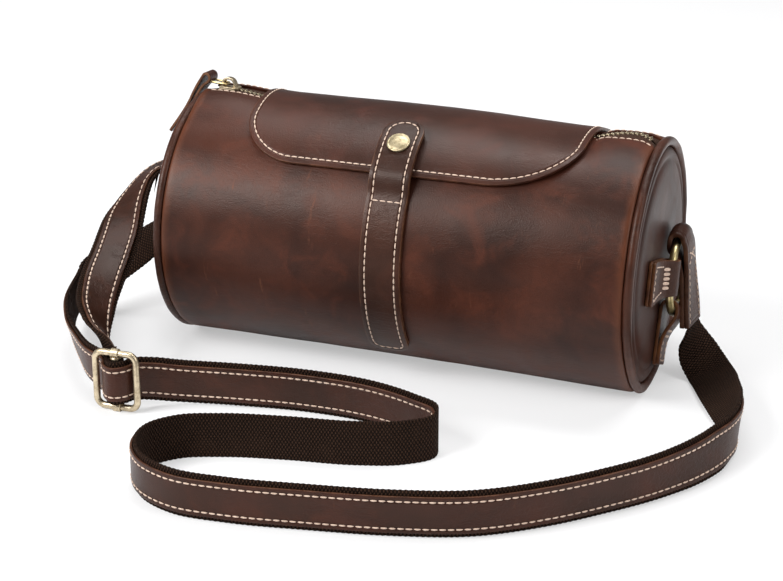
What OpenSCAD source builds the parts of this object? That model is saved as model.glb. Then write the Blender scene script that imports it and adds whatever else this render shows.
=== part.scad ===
// Crossbody barrel bag in brown leather, with a zip along the top, a snap flap and a shoulder strap
// X runs along the barrel, -Y is the front, Z = 0 is the surface that it rests on

/* [Barrel] */
// Outer diameter of the leather barrel
barrel_d = 130; // [116:1:144]
// Length of the leather wrap between its two rims
barrel_l = 246; // [236:1:280]
// Thickness of the body leather
leather_t = 1.8; // [1.6:0.1:2.0]
// Thickness of the stiffener between leather and lining
stiffener_t = 1.2; // [1:0.1:1.4]
// Thickness of the lining cloth
lining_t = 0.6; // [0.4:0.1:0.8]
// Depth of the flat that the barrel settles into where it rests
base_sag = 1; // [0.6:0.1:1.4]

/* [Ends] */
// Diameter of the piping round each rim
piping_d = 4.8; // [4:0.2:5.4]
// Height of the end panel's face beyond the end of the wrap
face_h = 5.6; // [5.2:0.1:6.2]
// Width of the bevel round the end panel's face
bevel_w = 6; // [4:0.5:9]
// Depth of the end panel's flange inside the wrap
flange_l = 9; // [7:0.5:11]
// Thickness of the board behind each end panel
board_t = 1.6; // [1:0.1:2]

/* [Zip] */
// Angle of the zip round the barrel, from the front (0) over the top (90)
zip_angle = 97; // [94:0.5:99]
// Width of the slot in the leather over the zip
slot_w = 15; // [14:0.5:18]
// Leather left between the slot and each end of the wrap
slot_end = 4; // [3.5:0.25:6]
// Width of each zip tape
tape_w = 11; // [10:0.5:12]
// Thickness of the zip tape
tape_t = 0.6; // [0.5:0.1:0.7]
// Distance from one tooth to the next on a side
tooth_pitch = 2.5; // [2.4:0.1:3]
// Length of a tooth across the zip
tooth_l = 3.2; // [3:0.1:3.4]
// Thickness of a tooth
tooth_t = 2.5; // [2:0.1:2.5]
// Length of the slider's body
slider_l = 11; // [10:0.5:12]
// Width of the slider's body
slider_w = 8.6; // [8.2:0.1:9]
// Thickness of the slider's plates
plate_t = 0.9; // [0.7:0.1:1]
// Diameter of the wire of the pull link
link_wire_d = 1; // [0.8:0.1:1.2]
// Length of the pull link between its two bars
link_l = 14.5; // [13.5:0.5:15]
// Length of the leather pull tab
tab_l = 33; // [26:1:40]
// Width of the leather pull tab
tab_w = 10.5; // [8:0.5:12]
// Thickness of one layer of the pull tab
tab_t = 1.2; // [1:0.1:1.2]

/* [Flap] */
// Width of the flap along the barrel
flap_w = 180; // [150:1:190]
// Angle of the flap's front edge
flap_front = 46.5; // [44:0.5:48]
// Angle of the line where the flap bends
flap_bend = 118; // [116:0.5:124]
// Width of the band where the flap's back edge is sewn to the barrel
flap_sewn_w = 18; // [15:0.5:24]
// Radius of the flap's front corners
flap_corner_r = 32; // [20:1:36]
// Thickness of the flap leather
flap_t = 1.6; // [1.4:0.1:1.8]

/* [Closing strap] */
// Width of the closing strap
closing_w = 21.5; // [18:0.5:24]
// Angle of the lower end of the closing strap
closing_low = -45; // [-55:1:-30]
// Angle of the stitched line where its loose tongue begins
closing_bend = 35; // [34:0.5:36]
// Angle of the tip of the tongue
closing_tip = 74.5; // [73:0.5:77]
// Thickness of the closing strap's two layers
closing_t = 2.2; // [2:0.1:2.4]

/* [Snap] */
// Angle of the snap round the barrel
snap_angle = 59.5; // [58:0.5:62]
// Diameter of the brass cap
cap_d = 12; // [10:0.5:12.5]
// Height of the brass cap's dome
cap_h = 2; // [1.4:0.1:2.4]
// Diameter of the socket under the tongue
socket_d = 10.6; // [10.2:0.1:11]
// Height of the socket
socket_h = 1.6; // [1.4:0.1:1.8]
// Diameter of the stud's head
stud_d = 4; // [3.6:0.1:4.4]
// Height of the stud's head over its flange
stud_h = 0.9; // [0.7:0.1:1]

/* [Rings and chapes] */
// Diameter of the ring's wire
ring_wire_d = 4.2; // [3.6:0.2:4.4]
// Diameter of the ring, to the middle of its wire
ring_d = 39.6; // [38:0.2:42]
// Height of the rings above the base
ring_z = 53.5; // [50:0.5:57]
// Distance of the rings behind the barrel's axis
ring_y = 13; // [10:0.5:16]
// Angle of the front chape round the ring, up from the front
front_chape_angle = 16; // [10:1:20]
// Width of the front chape
front_chape_w = 20; // [18:0.5:20]
// Reach of the right front chape from the middle of the ring
front_chape_l = 50; // [46:1:54]
// Reach of the left front chape, which shows beyond the left rim
left_chape_l = 64; // [60:1:66]
// Angle of the lower chape round the ring, down from the front
low_chape_angle = 66; // [62:1:72]
// Width of the lower chape
low_chape_w = 16; // [14:0.5:17]
// Reach of the lower chape from the middle of the ring
low_chape_l = 48; // [43:1:49]
// Thickness of one layer of the chapes
chape_t = 2.2; // [2:0.1:2.4]

/* [Shoulder strap] */
// Width of the webbing
webbing_w = 23; // [22:0.5:24]
// Thickness of the webbing
webbing_t = 1.4; // [1.2:0.1:1.4]
// Width of the leather facing
facing_w = 18.5; // [16:0.5:20]
// Thickness of the leather facing
facing_t = 1.3; // [1.1:0.1:1.3]
// Width of the leather strap end
strap_end_w = 19; // [17:0.5:20]
// Thickness of the strap end's two layers together
strap_end_t = 5; // [4.4:0.1:5.4]

/* [Adjuster] */
// Outer width of the adjuster along the strap
adjuster_w = 25.5; // [25:0.25:26]
// Outer height of the adjuster across the strap
adjuster_h = 33; // [32.5:0.25:33.5]
// Diameter of the adjuster's wire
adjuster_wire_d = 3.2; // [3:0.1:3.4]
// Diameter of the adjuster's middle bar
bar_d = 2.6; // [2.2:0.2:2.8]

/* [Hidden] */
$fn = 64;
overrun = 1;
seat_gap = 0.1;
layer_gap = 0.05;
leather_colour = [0.24, 0.12, 0.08];
edge_colour = [0.45, 0.27, 0.16];
webbing_colour = [0.12, 0.07, 0.05];
lining_colour = [0.35, 0.28, 0.2];
brass_colour = [0.76, 0.68, 0.48];

barrel_r = barrel_d / 2;
axis_z = barrel_r - base_sag;
wrap_end = barrel_l / 2;
face_x = wrap_end + face_h;

// Radii of the shells inside the wrap, from the outside in
stiffener_r = barrel_r - leather_t - layer_gap;
lining_r = stiffener_r - stiffener_t - layer_gap;
tape_r = barrel_r - leather_t - seat_gap - layer_gap;
flange_r = barrel_r - leather_t - layer_gap;
skirt_r = lining_r - lining_t - seat_gap;
bevel_h = 2.4;

// The zip and its slider
stop_l = 3;
tape_edge = 3;
notch_gap = 0.6;
liner_margin = 1.5;
tape_l = barrel_l - 2 * slot_end;
notch_w = 2 * (tape_edge + tape_w + notch_gap);
liner_slot_w = slot_w + 2 * liner_margin;
chain_r = tape_r - tape_t / 2;
tooth_w = 1.05;
tooth_reach = 0.7;
bead_d = 2.2;
slider_gap = 0.15;
slider_end_gap = 1.2;
link_behind = 1.5;
link_seat = 0.75;
crown_gap = 0.1;
chain_in = 3.4;
post_in = 0.8;
slider_x = -(wrap_end - slot_end - slider_l / 2 - slider_end_gap);
post_w = 1.2;
post_l = 1.2;
slider_top_r = chain_r + tooth_t / 2 + slider_gap + plate_t;
link_x = slider_x - link_behind;
link_r = slider_top_r + link_seat + link_wire_d / 2 + crown_gap;
link_w = 5.6;
link_corner_r = 0.7;
crown_w = 2;
crown_t = 0.7;
crown_l = 5.6;
crown_top_r = link_r + link_wire_d / 2 + crown_gap + crown_t;
chain_start = slider_x - slider_l / 2 + chain_in;
chain_end = wrap_end - 2 * slot_end - stop_l;
tooth_count = floor((chain_end - chain_start) / tooth_pitch);
tab_slope = 55.6;
tab_play = 0.3;
tab_bore_d = link_wire_d + tab_play;
tab_loop_d = tab_bore_d + 2 * tab_t;

// The flap lies on the leather and rises over the zip
function degrees(turns) = turns * 180 / PI;
flap_x = 1.5;
flap_lining_t = lining_t;
flap_over_gap = 0.4;
flap_rest_gap = 0.3;
flap_lining_in = 1;
flap_rise_r = crown_top_r + flap_over_gap;
flap_rest_r = barrel_r + flap_rest_gap;
rise_share = [0.42, 0.80];
fall_gap = 3.5;
flap_steps = 36;
flap_clear_angle = 0.5;
flap_all_t = flap_lining_t + flap_t;
flap_back = flap_bend + degrees(flap_sewn_w / flap_rest_r);

// The closing strap and its tongue
closing_x = -1.6;
strap_rest_r = barrel_r + seat_gap;
closing_corner_r = 5;
stud_flange_h = 0.5;
stud_flange_d = 9;
snap_gap = 0.2;
tongue_snap_r = flap_rest_r + flap_all_t + stud_flange_h + 2 * snap_gap + socket_h;
edge_rise = 1.7;
tip_fall = 0.4;
tongue_edge_r = flap_rest_r + flap_all_t + edge_rise;
tongue_tip_r = tongue_snap_r - tip_fall;
tip_gap = 0.4;
socket_sink = pow(socket_d / 2, 2) / (2 * tongue_snap_r) + 2 * seat_gap;
spring_room = 3.2;
socket_roof_t = 0.4;
socket_bore_d = stud_d + spring_room;
post_d = 2.4;
post_below = 0.45;

// The rings, their chapes and the strap end
ring_gap = 0.4;
ring_off = 3.9;
ring_x = face_x + ring_off + ring_wire_d / 2;
ring_r = ring_d / 2;
pf = ring_x - face_x - seat_gap / 2;
front_corner_r = 5;
wire_r = ring_wire_d / 2;
end_leg_x = 5.2;
end_bend = 8;
leg_low = 26.5;
end_side_gap = 0.3;
lip_h = 1;
lip_t = 0.2;
pinch = 1.5;
leg_in = 1;

// Where the ring's wire lets a loop reach inwards that covers the ring out to a given distance
function loop_hole(aside) = sqrt(pow(ring_r - wire_r, 2) - pow(aside, 2)) - ring_gap;
front_nose = loop_hole(front_chape_w / 2) - chape_t;
strap_end_y = ring_y - front_nose * cos(front_chape_angle)
              + front_chape_w / 2 * sin(front_chape_angle) + end_side_gap + strap_end_w / 2;

// The shoulder strap's route, the middle of its thickness: x, y, z, then the way to its lower edge
strap_route = [
    [142.3, 14, 26.6, 0, -10, 0], [142.8, 14, 22.5, -1.5, -9.9, 0], [144.3, 13.5, 17.5, -4.6, -8.9, -0.3],
    [149.1, 10.7, 9.9, -7.6, -5.9, -2.7], [154.9, 4.3, 5.8, -7.8, -4.2, -4.6],
    [159.5, -4.2, 5.5, -8, -4, -4.5], [163.1, -13.1, 6.7, -7.6, -3.8, -5.3],
    [166.3, -22.1, 8.4, -6.9, -3.6, -6.3], [169.6, -31.1, 9.8, -5.9, -3.2, -7.4],
    [173.2, -40, 10.5, -5.2, -2.7, -8.1], [177.1, -48.9, 10.9, -4.3, -2.1, -8.8],
    [180.7, -57.8, 11.4, -2.7, -1.3, -9.6], [183.3, -67.1, 11.7, -1.1, -0.6, -9.9],
    [184, -76.8, 12, 0.1, -0.4, -10], [182.7, -87.6, 12.3, 0.9, -0.4, -10],
    [180, -97.6, 12.3, 1.9, -0.7, -9.8], [176.2, -107.1, 12.1, 1.7, -0.7, -9.8],
    [171.7, -116.1, 12, 1.4, -0.7, -9.9], [166.5, -124.5, 11.9, 0.9, -0.5, -9.9],
    [154.7, -140.5, 11.8, 0.3, -0.1, -10], [140.7, -155.5, 11.7, 0, 0, -10], [118, -177, 11.7, 0, 0, -10],
    [88, -197.5, 11.7, 0, 0, -10], [54, -208.5, 11.7, 0, 0, -10], [14, -216.2, 11.7, 0, 0, -10],
    [-22, -221.4, 11.7, 0, 0, -10], [-50, -221, 11.7, 0, 0, -10], [-70, -210.5, 11.7, 0, 0, -10],
    [-79.4, -195.8, 11.7, 0, 0, -10], [-79.6, -181, 11.7, 0, 0, -10], [-70, -168, 11.7, 0, 0, -10],
    [-50, -159, 11.7, 0, 0, -10], [-20, -152, 11.7, 0, 0, -10], [15, -146, 11.7, 0, 0, -10],
    [36, -138, 11.7, 0, 0, -10], [46.8, -127, 11.7, 0, 0, -10], [44.6, -117, 11.7, 0, 0, -10],
    [31, -109.5, 11.7, 0, 0, -10], [8, -102, 11.7, 0, 0, -10], [-28, -100, 11.7, 0, 0, -10],
    [-65, -105.5, 12.2, 0, 0, -10], [-95, -113.5, 13.4, 0, 0, -10], [-105.5, -120, 15.8, 0, 0, -10],
    [-111.9, -125.1, 16.9, 0, 0, -10], [-115.7, -131.7, 16.9, 0, 0, -10],
    [-120.2, -134.5, 16.9, 0, 0, -10], [-124.7, -131.7, 16.9, 0, 0, -10],
    [-128.5, -125.1, 16.9, 0, 0, -10], [-142.6, -113.9, 17, 0, 1.5, -9.8], [-158, -95, 16, -1, 4.5, -8.8],
    [-174, -72, 15.5, -1, 5.5, -8.2], [-186, -48, 16.8, -0.5, 2.5, -9.6], [-189, -26, 19.8, 0, -4, -9],
    [-179.5, -7, 26.6, 1, -6, -8], [-164, 5, 36, 2, -8, -6], [-152, 12, 47, 1, -9, -4],
    [-142, 15.5, 56.5, 0, -10, -1], [-136, 16.1, 60.4, 0, -10, 0], [-132.4, 16.1, 62.2, 0, -10, 0],
    [-130.6, 16.1, 66, 0, -10, 0], [-130.5, 16.1, 74.5, 0, -10, 0], [-132.3, 16, 78.2, 0, -10, 0.6],
    [-137, 15, 80.6, 0, -9.9, 1.4], [-145, 12.5, 82.4, 0, -9.8, 1.9], [-152.1, 9, 82.5, 4.7, -8.7, 1.7],
    [-158.1, 5, 80.1, 5, -8.5, 1.8], [-161.3, -2, 76.5, 5.9, -7.9, 1.6],
    [-162.8, -11, 71.5, 7.4, -6.7, 0.9], [-162.7, -23, 65.1, 9.2, -3.8, -0.3],
    [-159.6, -38, 58.9, 9.8, -0.1, -1.8], [-156.7, -54, 52.5, 9.6, 0.6, -2.6],
    [-154.6, -69, 46.5, 8.9, 2.9, -3.5], [-152.1, -82, 40.6, 6.3, 6.7, -3.9],
    [-148.1, -93, 36.5, 3, 9, -3.2], [-143.5, -101, 31.9, -0.3, 9.4, -3.4],
    [-132.3, -112, 22.6, 0, 1, -10], [-124.5, -120.5, 17, 0, 0, -10], [-122, -124.5, 16.9, 0, 0, -10]];
facing_start = 2;
strap_half_t = 1.5;

// The adjuster stands on its edge on the same surface as the bag
adjuster_at = [-120.2, -128.9, 16.9];
adjuster_corner_r = 6;
collar_t = 0.8;
collar_d = adjuster_wire_d + 2 * collar_t;
collar_l = 3;
bar_loop_gap = 0.1;

// Stands its children on the barrel's surface at an angle, with their Z pointing away from the axis
module on_barrel(angle, x = 0) {
    translate([x, 0, axis_z]) rotate([90 - angle, 0, 0]) children();
}

// A point of the section at an angle and a radius: how far behind the axis, and how high
function polar(angle, r) = [-r * cos(angle), r * sin(angle)];
function smooth(t) = let (u = min(1, max(0, t))) u * u * (3 - 2 * u);
function mix(a, b, t) = a + (b - a) * t;

// Runs a section, drawn as [y, z] about the axis, along X
module along_barrel(length, x = 0) {
    translate([x - length / 2, 0, axis_z]) rotate([90, 0, 90]) linear_extrude(length) children();
}

// A length of solid barrel, flat below where it rests
module barrel_rod(r, length, floor_z) {
    intersection() {
        translate([-length / 2, 0, axis_z]) rotate([0, 90, 0]) cylinder(r = r, h = length);
        translate([-length, -barrel_d, floor_z]) cube([2 * length, 2 * barrel_d, 2 * barrel_d]);
    }
}

// One layer of the barrel, open along the zip
module shell(r, t, length, open_w, open_l) {
    difference() {
        barrel_rod(r, length, barrel_r - r);
        barrel_rod(r - t, length + 2 * overrun, barrel_r - r + t);
        on_barrel(zip_angle)
            translate([-open_l / 2, -open_w / 2, barrel_r / 2]) cube([open_l, open_w, barrel_r]);
    }
}

module body_wrap() color(leather_colour)
    shell(barrel_r, leather_t, barrel_l, slot_w, barrel_l - 2 * slot_end);
module body_stiffener() color(edge_colour)
    shell(stiffener_r, stiffener_t, barrel_l - 2 * (flange_l + seat_gap), notch_w, barrel_l);
module lining_wrap() color(lining_colour)
    shell(lining_r, lining_t, barrel_l - 2 * (flange_l + seat_gap), liner_slot_w, barrel_l);

// Turns an outline of [radius, distance beyond the end of the wrap] round the barrel's axis
module end_turned(points) {
    translate([wrap_end, 0, axis_z]) rotate([0, 90, 0]) rotate_extrude() polygon(points);
}

// Cuts the end pieces back round the ends of the zip, and flat above the barrel's base
module end_notch(width, base) {
    difference() {
        children();
        on_barrel(zip_angle)
            translate([wrap_end - 2 * flange_l, -width / 2, barrel_r / 2])
                cube([2 * flange_l, width, barrel_r]);
        translate([wrap_end - 2 * flange_l, -barrel_r, base - barrel_r]) cube([4 * flange_l, barrel_d, barrel_r]);
    }
}

module piping() color(leather_colour) intersection() {
    translate([wrap_end + piping_d / 2 + seat_gap, 0, axis_z]) rotate([0, 90, 0])
        rotate_extrude() translate([barrel_r - piping_d / 2, 0]) circle(d = piping_d);
    translate([0, -barrel_d, 0]) cube([barrel_l, 2 * barrel_d, 2 * barrel_d]);
}

module end_panel() color(leather_colour) {
    rim_r = barrel_r - piping_d - seat_gap;
    flat_r = rim_r - bevel_w;
    low_h = face_h - bevel_h;
    end_notch(notch_w, leather_t + layer_gap) end_turned([
        [0, face_h], [flat_r, face_h], [rim_r, low_h], [rim_r, 0], [flange_r, 0], [flange_r, -flange_l],
        [flange_r - leather_t, -flange_l], [flange_r - leather_t, -leather_t],
        [rim_r - leather_t, -leather_t], [rim_r - leather_t, low_h - leather_t / 2],
        [flat_r - leather_t / 2, face_h - leather_t], [0, face_h - leather_t]]);
}

module end_board() color(edge_colour)
    translate([face_x - leather_t - board_t - seat_gap, 0, axis_z]) rotate([0, 90, 0])
        cylinder(r = barrel_r - piping_d - bevel_w - leather_t, h = board_t);

module end_lining() color(lining_colour) end_notch(liner_slot_w, barrel_r - skirt_r) end_turned([
    [0, -leather_t - seat_gap], [skirt_r, -leather_t - seat_gap], [skirt_r, -1.6 * flange_l],
    [skirt_r - lining_t, -1.6 * flange_l], [skirt_r - lining_t, -leather_t - seat_gap - lining_t],
    [0, -leather_t - seat_gap - lining_t]]);

// The zip's tapes follow the underside of the leather
module zip_tape(side) color(webbing_colour) intersection() {
    difference() {
        translate([-tape_l / 2, 0, axis_z]) rotate([0, 90, 0]) cylinder(r = tape_r, h = tape_l);
        translate([-tape_l, 0, axis_z]) rotate([0, 90, 0])
            cylinder(r = tape_r - tape_t, h = 2 * tape_l);
    }
    on_barrel(zip_angle) translate([-tape_l, side > 0 ? tape_edge : -tape_edge - tape_w, 0])
        cube([2 * tape_l, tape_w, barrel_d]);
}

module zip_teeth(side) color(brass_colour) on_barrel(zip_angle) {
    chain_l = tooth_count * tooth_pitch;
    translate([chain_start, side * (tape_edge - bead_d / 2 - seat_gap / 2), chain_r]) rotate([0, 90, 0])
        cylinder(d = bead_d, h = chain_l);
    for (i = [0 : tooth_count - 1])
        translate([chain_start + (i + (side > 0 ? 0.25 : 0.75)) * tooth_pitch - tooth_w / 2,
                   side > 0 ? -tooth_reach : tooth_reach - tooth_l, chain_r - tooth_t / 2])
            cube([tooth_w, tooth_l, tooth_t]);
}

module zip_top_stops() color(brass_colour) on_barrel(zip_angle)
    for (side = [-1, 1])
        translate([-tape_l / 2 + seat_gap, side * (tape_edge + stop_l / 2) - stop_l / 4,
                   chain_r + tape_t / 2 + seat_gap])
            cube([stop_l / 3, stop_l / 2, tooth_t / 2]);

module zip_bottom_stop() color(brass_colour) on_barrel(zip_angle)
    translate([chain_end + seat_gap, seat_gap - tape_edge, chain_r - tooth_t / 2])
        cube([stop_l, 2 * (tape_edge - seat_gap), tooth_t]);

module zip_slider() color(brass_colour) on_barrel(zip_angle) {
    half = tooth_t / 2 + slider_gap;
    for (s = [0, 1])
        translate([slider_x - slider_l / 2, -slider_w / 2, chain_r + (s > 0 ? half : -half - plate_t)])
            cube([slider_l, slider_w, plate_t]);
    translate([slider_x - slider_l / 2 + post_in, -post_w / 2, chain_r - half - plate_t / 2])
        cube([post_l, post_w, 2 * half + plate_t]);
    difference() {
        translate([link_x - crown_l / 2, -crown_w / 2, slider_top_r - plate_t / 2])
            cube([crown_l, crown_w, crown_top_r - slider_top_r + plate_t / 2]);
        translate([link_x - crown_l / 2 + crown_t, -crown_w, slider_top_r])
            cube([crown_l - 2 * crown_t, 2 * crown_w, crown_top_r - slider_top_r - crown_t]);
    }
}

// A flat frame of bent wire, measured to the middle of the wire
module wire_frame(length, width, corner_r, wire_d) {
    half_l = length / 2;
    half_w = width / 2;
    r = corner_r;
    for (s = [-1, 1]) {
        translate([s * half_l, r - half_w, 0]) rotate([-90, 0, 0])
            cylinder(d = wire_d, h = 2 * (half_w - r));
        translate([r - half_l, s * half_w, 0]) rotate([0, 90, 0])
            cylinder(d = wire_d, h = 2 * (half_l - r));
        for (t = [-1, 1]) translate([s * (half_l - r), t * (half_w - r), 0])
            rotate([0, 0, s > 0 ? (t > 0 ? 0 : 270) : (t > 0 ? 90 : 180)])
                rotate_extrude(angle = 90) translate([r, 0]) circle(d = wire_d);
    }
}

module zip_pull_link() color(brass_colour) on_barrel(zip_angle)
    translate([link_x - link_l / 2, 0, link_r]) wire_frame(link_l, link_w, link_corner_r, link_wire_d);

module zip_pull_tab() color(leather_colour) on_barrel(zip_angle) translate([link_x - link_l, 0, link_r])
    difference() {
        union() {
            translate([0, tab_w / 2, 0]) rotate([90, 0, 0]) cylinder(d = tab_loop_d, h = tab_w);
            rotate([0, 180 - tab_slope, 0]) translate([0, -tab_w / 2, -tab_t])
                cube([tab_l, tab_w, 2 * tab_t]);
        }
        translate([0, (link_w + link_wire_d) / 2 + seat_gap, 0]) rotate([90, 0, 0])
            cylinder(d = tab_bore_d, h = link_w + link_wire_d + 2 * seat_gap);
        for (s = [-1, 1]) translate([0, s * link_w / 2, 0]) rotate([0, 90, 0])
            translate([0, 0, -overrun]) cylinder(d = tab_bore_d, h = tab_loop_d + overrun);
    }

// Radius of the flap's inner side: on the leather at its edges, over the slider at the zip
function flap_r(angle) = let (
    up = smooth((angle - mix(flap_front, zip_angle, rise_share[0]))
                / (mix(flap_front, zip_angle, rise_share[1]) - mix(flap_front, zip_angle, rise_share[0]))),
    down = smooth((angle - zip_angle - fall_gap) / (flap_bend - zip_angle - 2 * fall_gap)))
    mix(flap_rest_r, flap_rise_r, up * (1 - down));

// A band of the section between two offsets from the flap's inner side
module flap_band(from, to, low, high) {
    angles = [for (i = [0 : flap_steps]) mix(from, to, i / flap_steps)];
    polygon(concat([for (a = angles) polar(a, flap_r(a) + low)],
                   [for (i = [flap_steps : -1 : 0]) polar(angles[i], flap_r(angles[i]) + high)]));
}

// The flap's outline as seen along the radius at the snap, with rounded front corners
module flap_outline(inset) {
    front = -flap_rest_r * sin(snap_angle - flap_front) + inset;
    half = flap_w / 2 - inset;
    r = flap_corner_r;
    translate([-half, front + r]) square([2 * half, barrel_d]);
    translate([-half + r, front - overrun]) square([2 * (half - r), r + overrun]);
    for (s = [-1, 1]) translate([s * (half - r), front + r]) circle(r);
}

module flap_sheet(low, high, inset) intersection() {
    along_barrel(flap_w, flap_x) flap_band(flap_front, flap_bend, low, high);
    on_barrel(snap_angle, flap_x) linear_extrude(barrel_d) flap_outline(inset);
}

module flap() color(leather_colour) flap_sheet(flap_lining_t, flap_all_t, 0);
module flap_lining() color(edge_colour) flap_sheet(0, flap_lining_t, flap_lining_in);
module flap_seam() color(leather_colour) along_barrel(flap_w, flap_x)
    flap_band(flap_bend + flap_clear_angle, flap_back, 0, flap_all_t);

// Radius of the closing strap's inner side: on the leather below its bend, over the flap above it
function closing_r(angle) =
    angle < closing_bend ? strap_rest_r
    : angle < flap_front ? mix(strap_rest_r, tongue_edge_r,
                               smooth((angle - closing_bend) / (flap_front - closing_bend)))
    : angle < snap_angle ? mix(tongue_edge_r, tongue_snap_r,
                               (angle - flap_front) / (snap_angle - flap_front))
    : max(flap_r(angle) + flap_all_t + tip_gap,
          mix(tongue_snap_r, tongue_tip_r, (angle - snap_angle) / (closing_tip - snap_angle)));

module closing_band(from, to) {
    steps = 32;
    angles = [for (i = [0 : steps]) mix(from, to, i / steps)];
    polygon(concat([for (a = angles) polar(a, closing_r(a))],
                   [for (i = [steps : -1 : 0]) polar(angles[i], closing_r(angles[i]) + closing_t)]));
}

module closing_strap() color(leather_colour)
    along_barrel(closing_w, closing_x) closing_band(closing_low, closing_bend - flap_clear_angle);

module closing_tongue() color(leather_colour) difference() {
    intersection() {
        along_barrel(closing_w, closing_x) closing_band(closing_bend, closing_tip);
        on_barrel(snap_angle, closing_x) linear_extrude(barrel_d) {
            tip = tongue_snap_r * sin(closing_tip - snap_angle);
            translate([0, tip - closing_w / 2]) circle(d = closing_w);
            translate([-closing_w / 2, tip - closing_w / 2 - barrel_d]) square([closing_w, barrel_d]);
        }
    }
    on_barrel(snap_angle, closing_x) cylinder(d = post_d + 2 * seat_gap, h = barrel_d);
}

// The snap: cap and post through the tongue, socket under it, stud on the flap
module snap_cap() color(brass_colour) on_barrel(snap_angle, closing_x) {
    top = tongue_snap_r + closing_t + seat_gap;
    dome_r = (pow(cap_d / 2, 2) + pow(cap_h, 2)) / (2 * cap_h);
    intersection() {
        translate([0, 0, top + cap_h - dome_r]) sphere(r = dome_r);
        translate([0, 0, top]) cylinder(d = cap_d + 2 * overrun, h = cap_h + overrun);
    }
    translate([0, 0, tongue_snap_r - seat_gap / 2]) cylinder(d = post_d, h = closing_t + seat_gap / 2 + post_below);
}

module snap_socket() color(brass_colour) on_barrel(snap_angle, closing_x)
    translate([0, 0, tongue_snap_r - socket_h - socket_sink]) difference() {
        cylinder(d = socket_d, h = socket_h);
        translate([0, 0, -overrun]) cylinder(d = socket_bore_d, h = socket_h + overrun - socket_roof_t);
    }

module snap_stud() color(brass_colour) on_barrel(snap_angle, closing_x) {
    base = flap_rest_r + flap_all_t + seat_gap / 2;
    translate([0, 0, base]) cylinder(d = stud_flange_d, h = stud_flange_h - seat_gap);
    translate([0, 0, base]) cylinder(d = stud_d, h = stud_flange_h + stud_h - snap_gap);
}

module ring() color(brass_colour) translate([ring_x, ring_y, ring_z]) rotate([0, 90, 0])
    rotate_extrude() translate([ring_r, 0]) circle(d = ring_wire_d);

// A leather loop round the ring whose two layers are sewn flat to the end panel.
// Its section is drawn as [x, distance from the ring's middle].
module chape(angle, width, reach, corner_r) {
    hole_in = loop_hole(width / 2);
    hole_out = ring_r + wire_r + ring_gap;
    x_low = chape_t - pf;
    x_high = wire_r + ring_gap;
    x_mid = (x_low + x_high) / 2;
    hole_r = (x_high - x_low) / 2;
    taper = hole_out + 3.2 * chape_t;
    color(leather_colour) translate([ring_x, ring_y, ring_z]) rotate([-angle, 0, 0]) intersection() {
        translate([0, 0, -width / 2]) linear_extrude(width) mirror([0, 1]) difference() {
            union() {
                translate([x_mid, hole_in + hole_r]) circle(hole_r + chape_t);
                polygon([[-pf, hole_in + hole_r], [x_high + chape_t, hole_in + hole_r],
                         [x_high + chape_t, hole_out], [2 * chape_t - pf, taper],
                         [2 * chape_t - pf, reach], [-pf, reach]]);
            }
            translate([x_mid, hole_in + hole_r]) circle(hole_r);
            polygon([[x_low, hole_in + hole_r], [x_high, hole_in + hole_r], [x_high, hole_out - lip_h],
                     [x_low + lip_t, taper - pinch], [x_low, taper - pinch]]);
        }
        rotate([90, 0, 90]) translate([0, 0, -reach]) linear_extrude(2 * reach) mirror([1, 0]) {
            translate([0, -width / 2]) square([reach - corner_r, width]);
            translate([0, corner_r - width / 2]) square([reach, width - 2 * corner_r]);
            for (s = [-1, 1]) translate([reach - corner_r, s * (width / 2 - corner_r)]) circle(corner_r);
        }
    }
}

module front_chape(reach) chape(front_chape_angle, front_chape_w, reach, front_corner_r);
module lower_chape()
    chape(-low_chape_angle, low_chape_w, low_chape_l, low_chape_w / 2 - seat_gap);

// The strap end folds over the top of the ring, and both its layers hang down beside it
module strap_end() color(leather_colour) {
    hole_r = wire_r + ring_gap;
    fold_r = hole_r + chape_t;
    low = loop_hole(strap_end_y - ring_y + strap_end_w / 2) + hole_r;
    high = ring_r;
    translate([ring_x, strap_end_y - strap_end_w / 2, ring_z]) rotate([90, 0, 0]) mirror([0, 0, 1])
        linear_extrude(strap_end_w) difference() {
            union() {
                for (u = [low, high]) translate([0, u]) circle(fold_r);
                translate([-fold_r, low]) square([2 * fold_r, high - low]);
                polygon([[end_leg_x, -end_bend], [end_leg_x, -leg_low],
                         [end_leg_x + strap_end_t, -leg_low], [end_leg_x + strap_end_t, -end_bend],
                         [fold_r - leg_in, high], [hole_r + leg_in, low], [-leg_in, low - hole_r - chape_t / 2]]);
            }
            for (u = [low, high]) translate([0, u]) circle(hole_r);
            translate([-hole_r, low]) square([2 * hole_r, high - low]);
        }
}

// Sweeps a flat band along route points from one depth to another through the strap's thickness
function unit(v) = v / norm(v);
function place(p) = [p[0], p[1], p[2]];
module band(route, width, low, high) {
    last = len(route) - 1;
    strips = 4;
    sides = 2 * (strips + 1);
    corners = concat([for (k = [0 : strips]) [2 * k / strips - 1, low]],
                     [for (k = [strips : -1 : 0]) [2 * k / strips - 1, high]]);
    rings = [for (i = [0 : last]) let (
        tangent = unit(place(route[min(i + 1, last)]) - place(route[max(i - 1, 0)])),
        lean = [route[i][3], route[i][4], route[i][5]],
        across = unit(lean - (lean * tangent) * tangent),
        out = cross(tangent, across))
        each [for (c = corners) place(route[i]) + across * (c[0] * width / 2) + out * c[1]]];
    skin = [for (i = [0 : last - 1], k = [0 : sides - 1]) let (
        a = sides * i + k, b = sides * i + (k + 1) % sides)
        each [[a, b, b + sides], [a, b + sides, a + sides]]];
    ends = [for (k = [0 : strips - 1], e = [0, sides * last]) let (
        a = e + k, b = e + k + 1, c = e + sides - 2 - k, d = e + sides - 1 - k)
        each (e == 0 ? [[c, b, a], [d, c, a]] : [[a, b, c], [a, c, d]])];
    polyhedron(points = rings, faces = concat(skin, ends));
}
function tail(list, from) = [for (i = [from : len(list) - 1]) list[i]];

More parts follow.
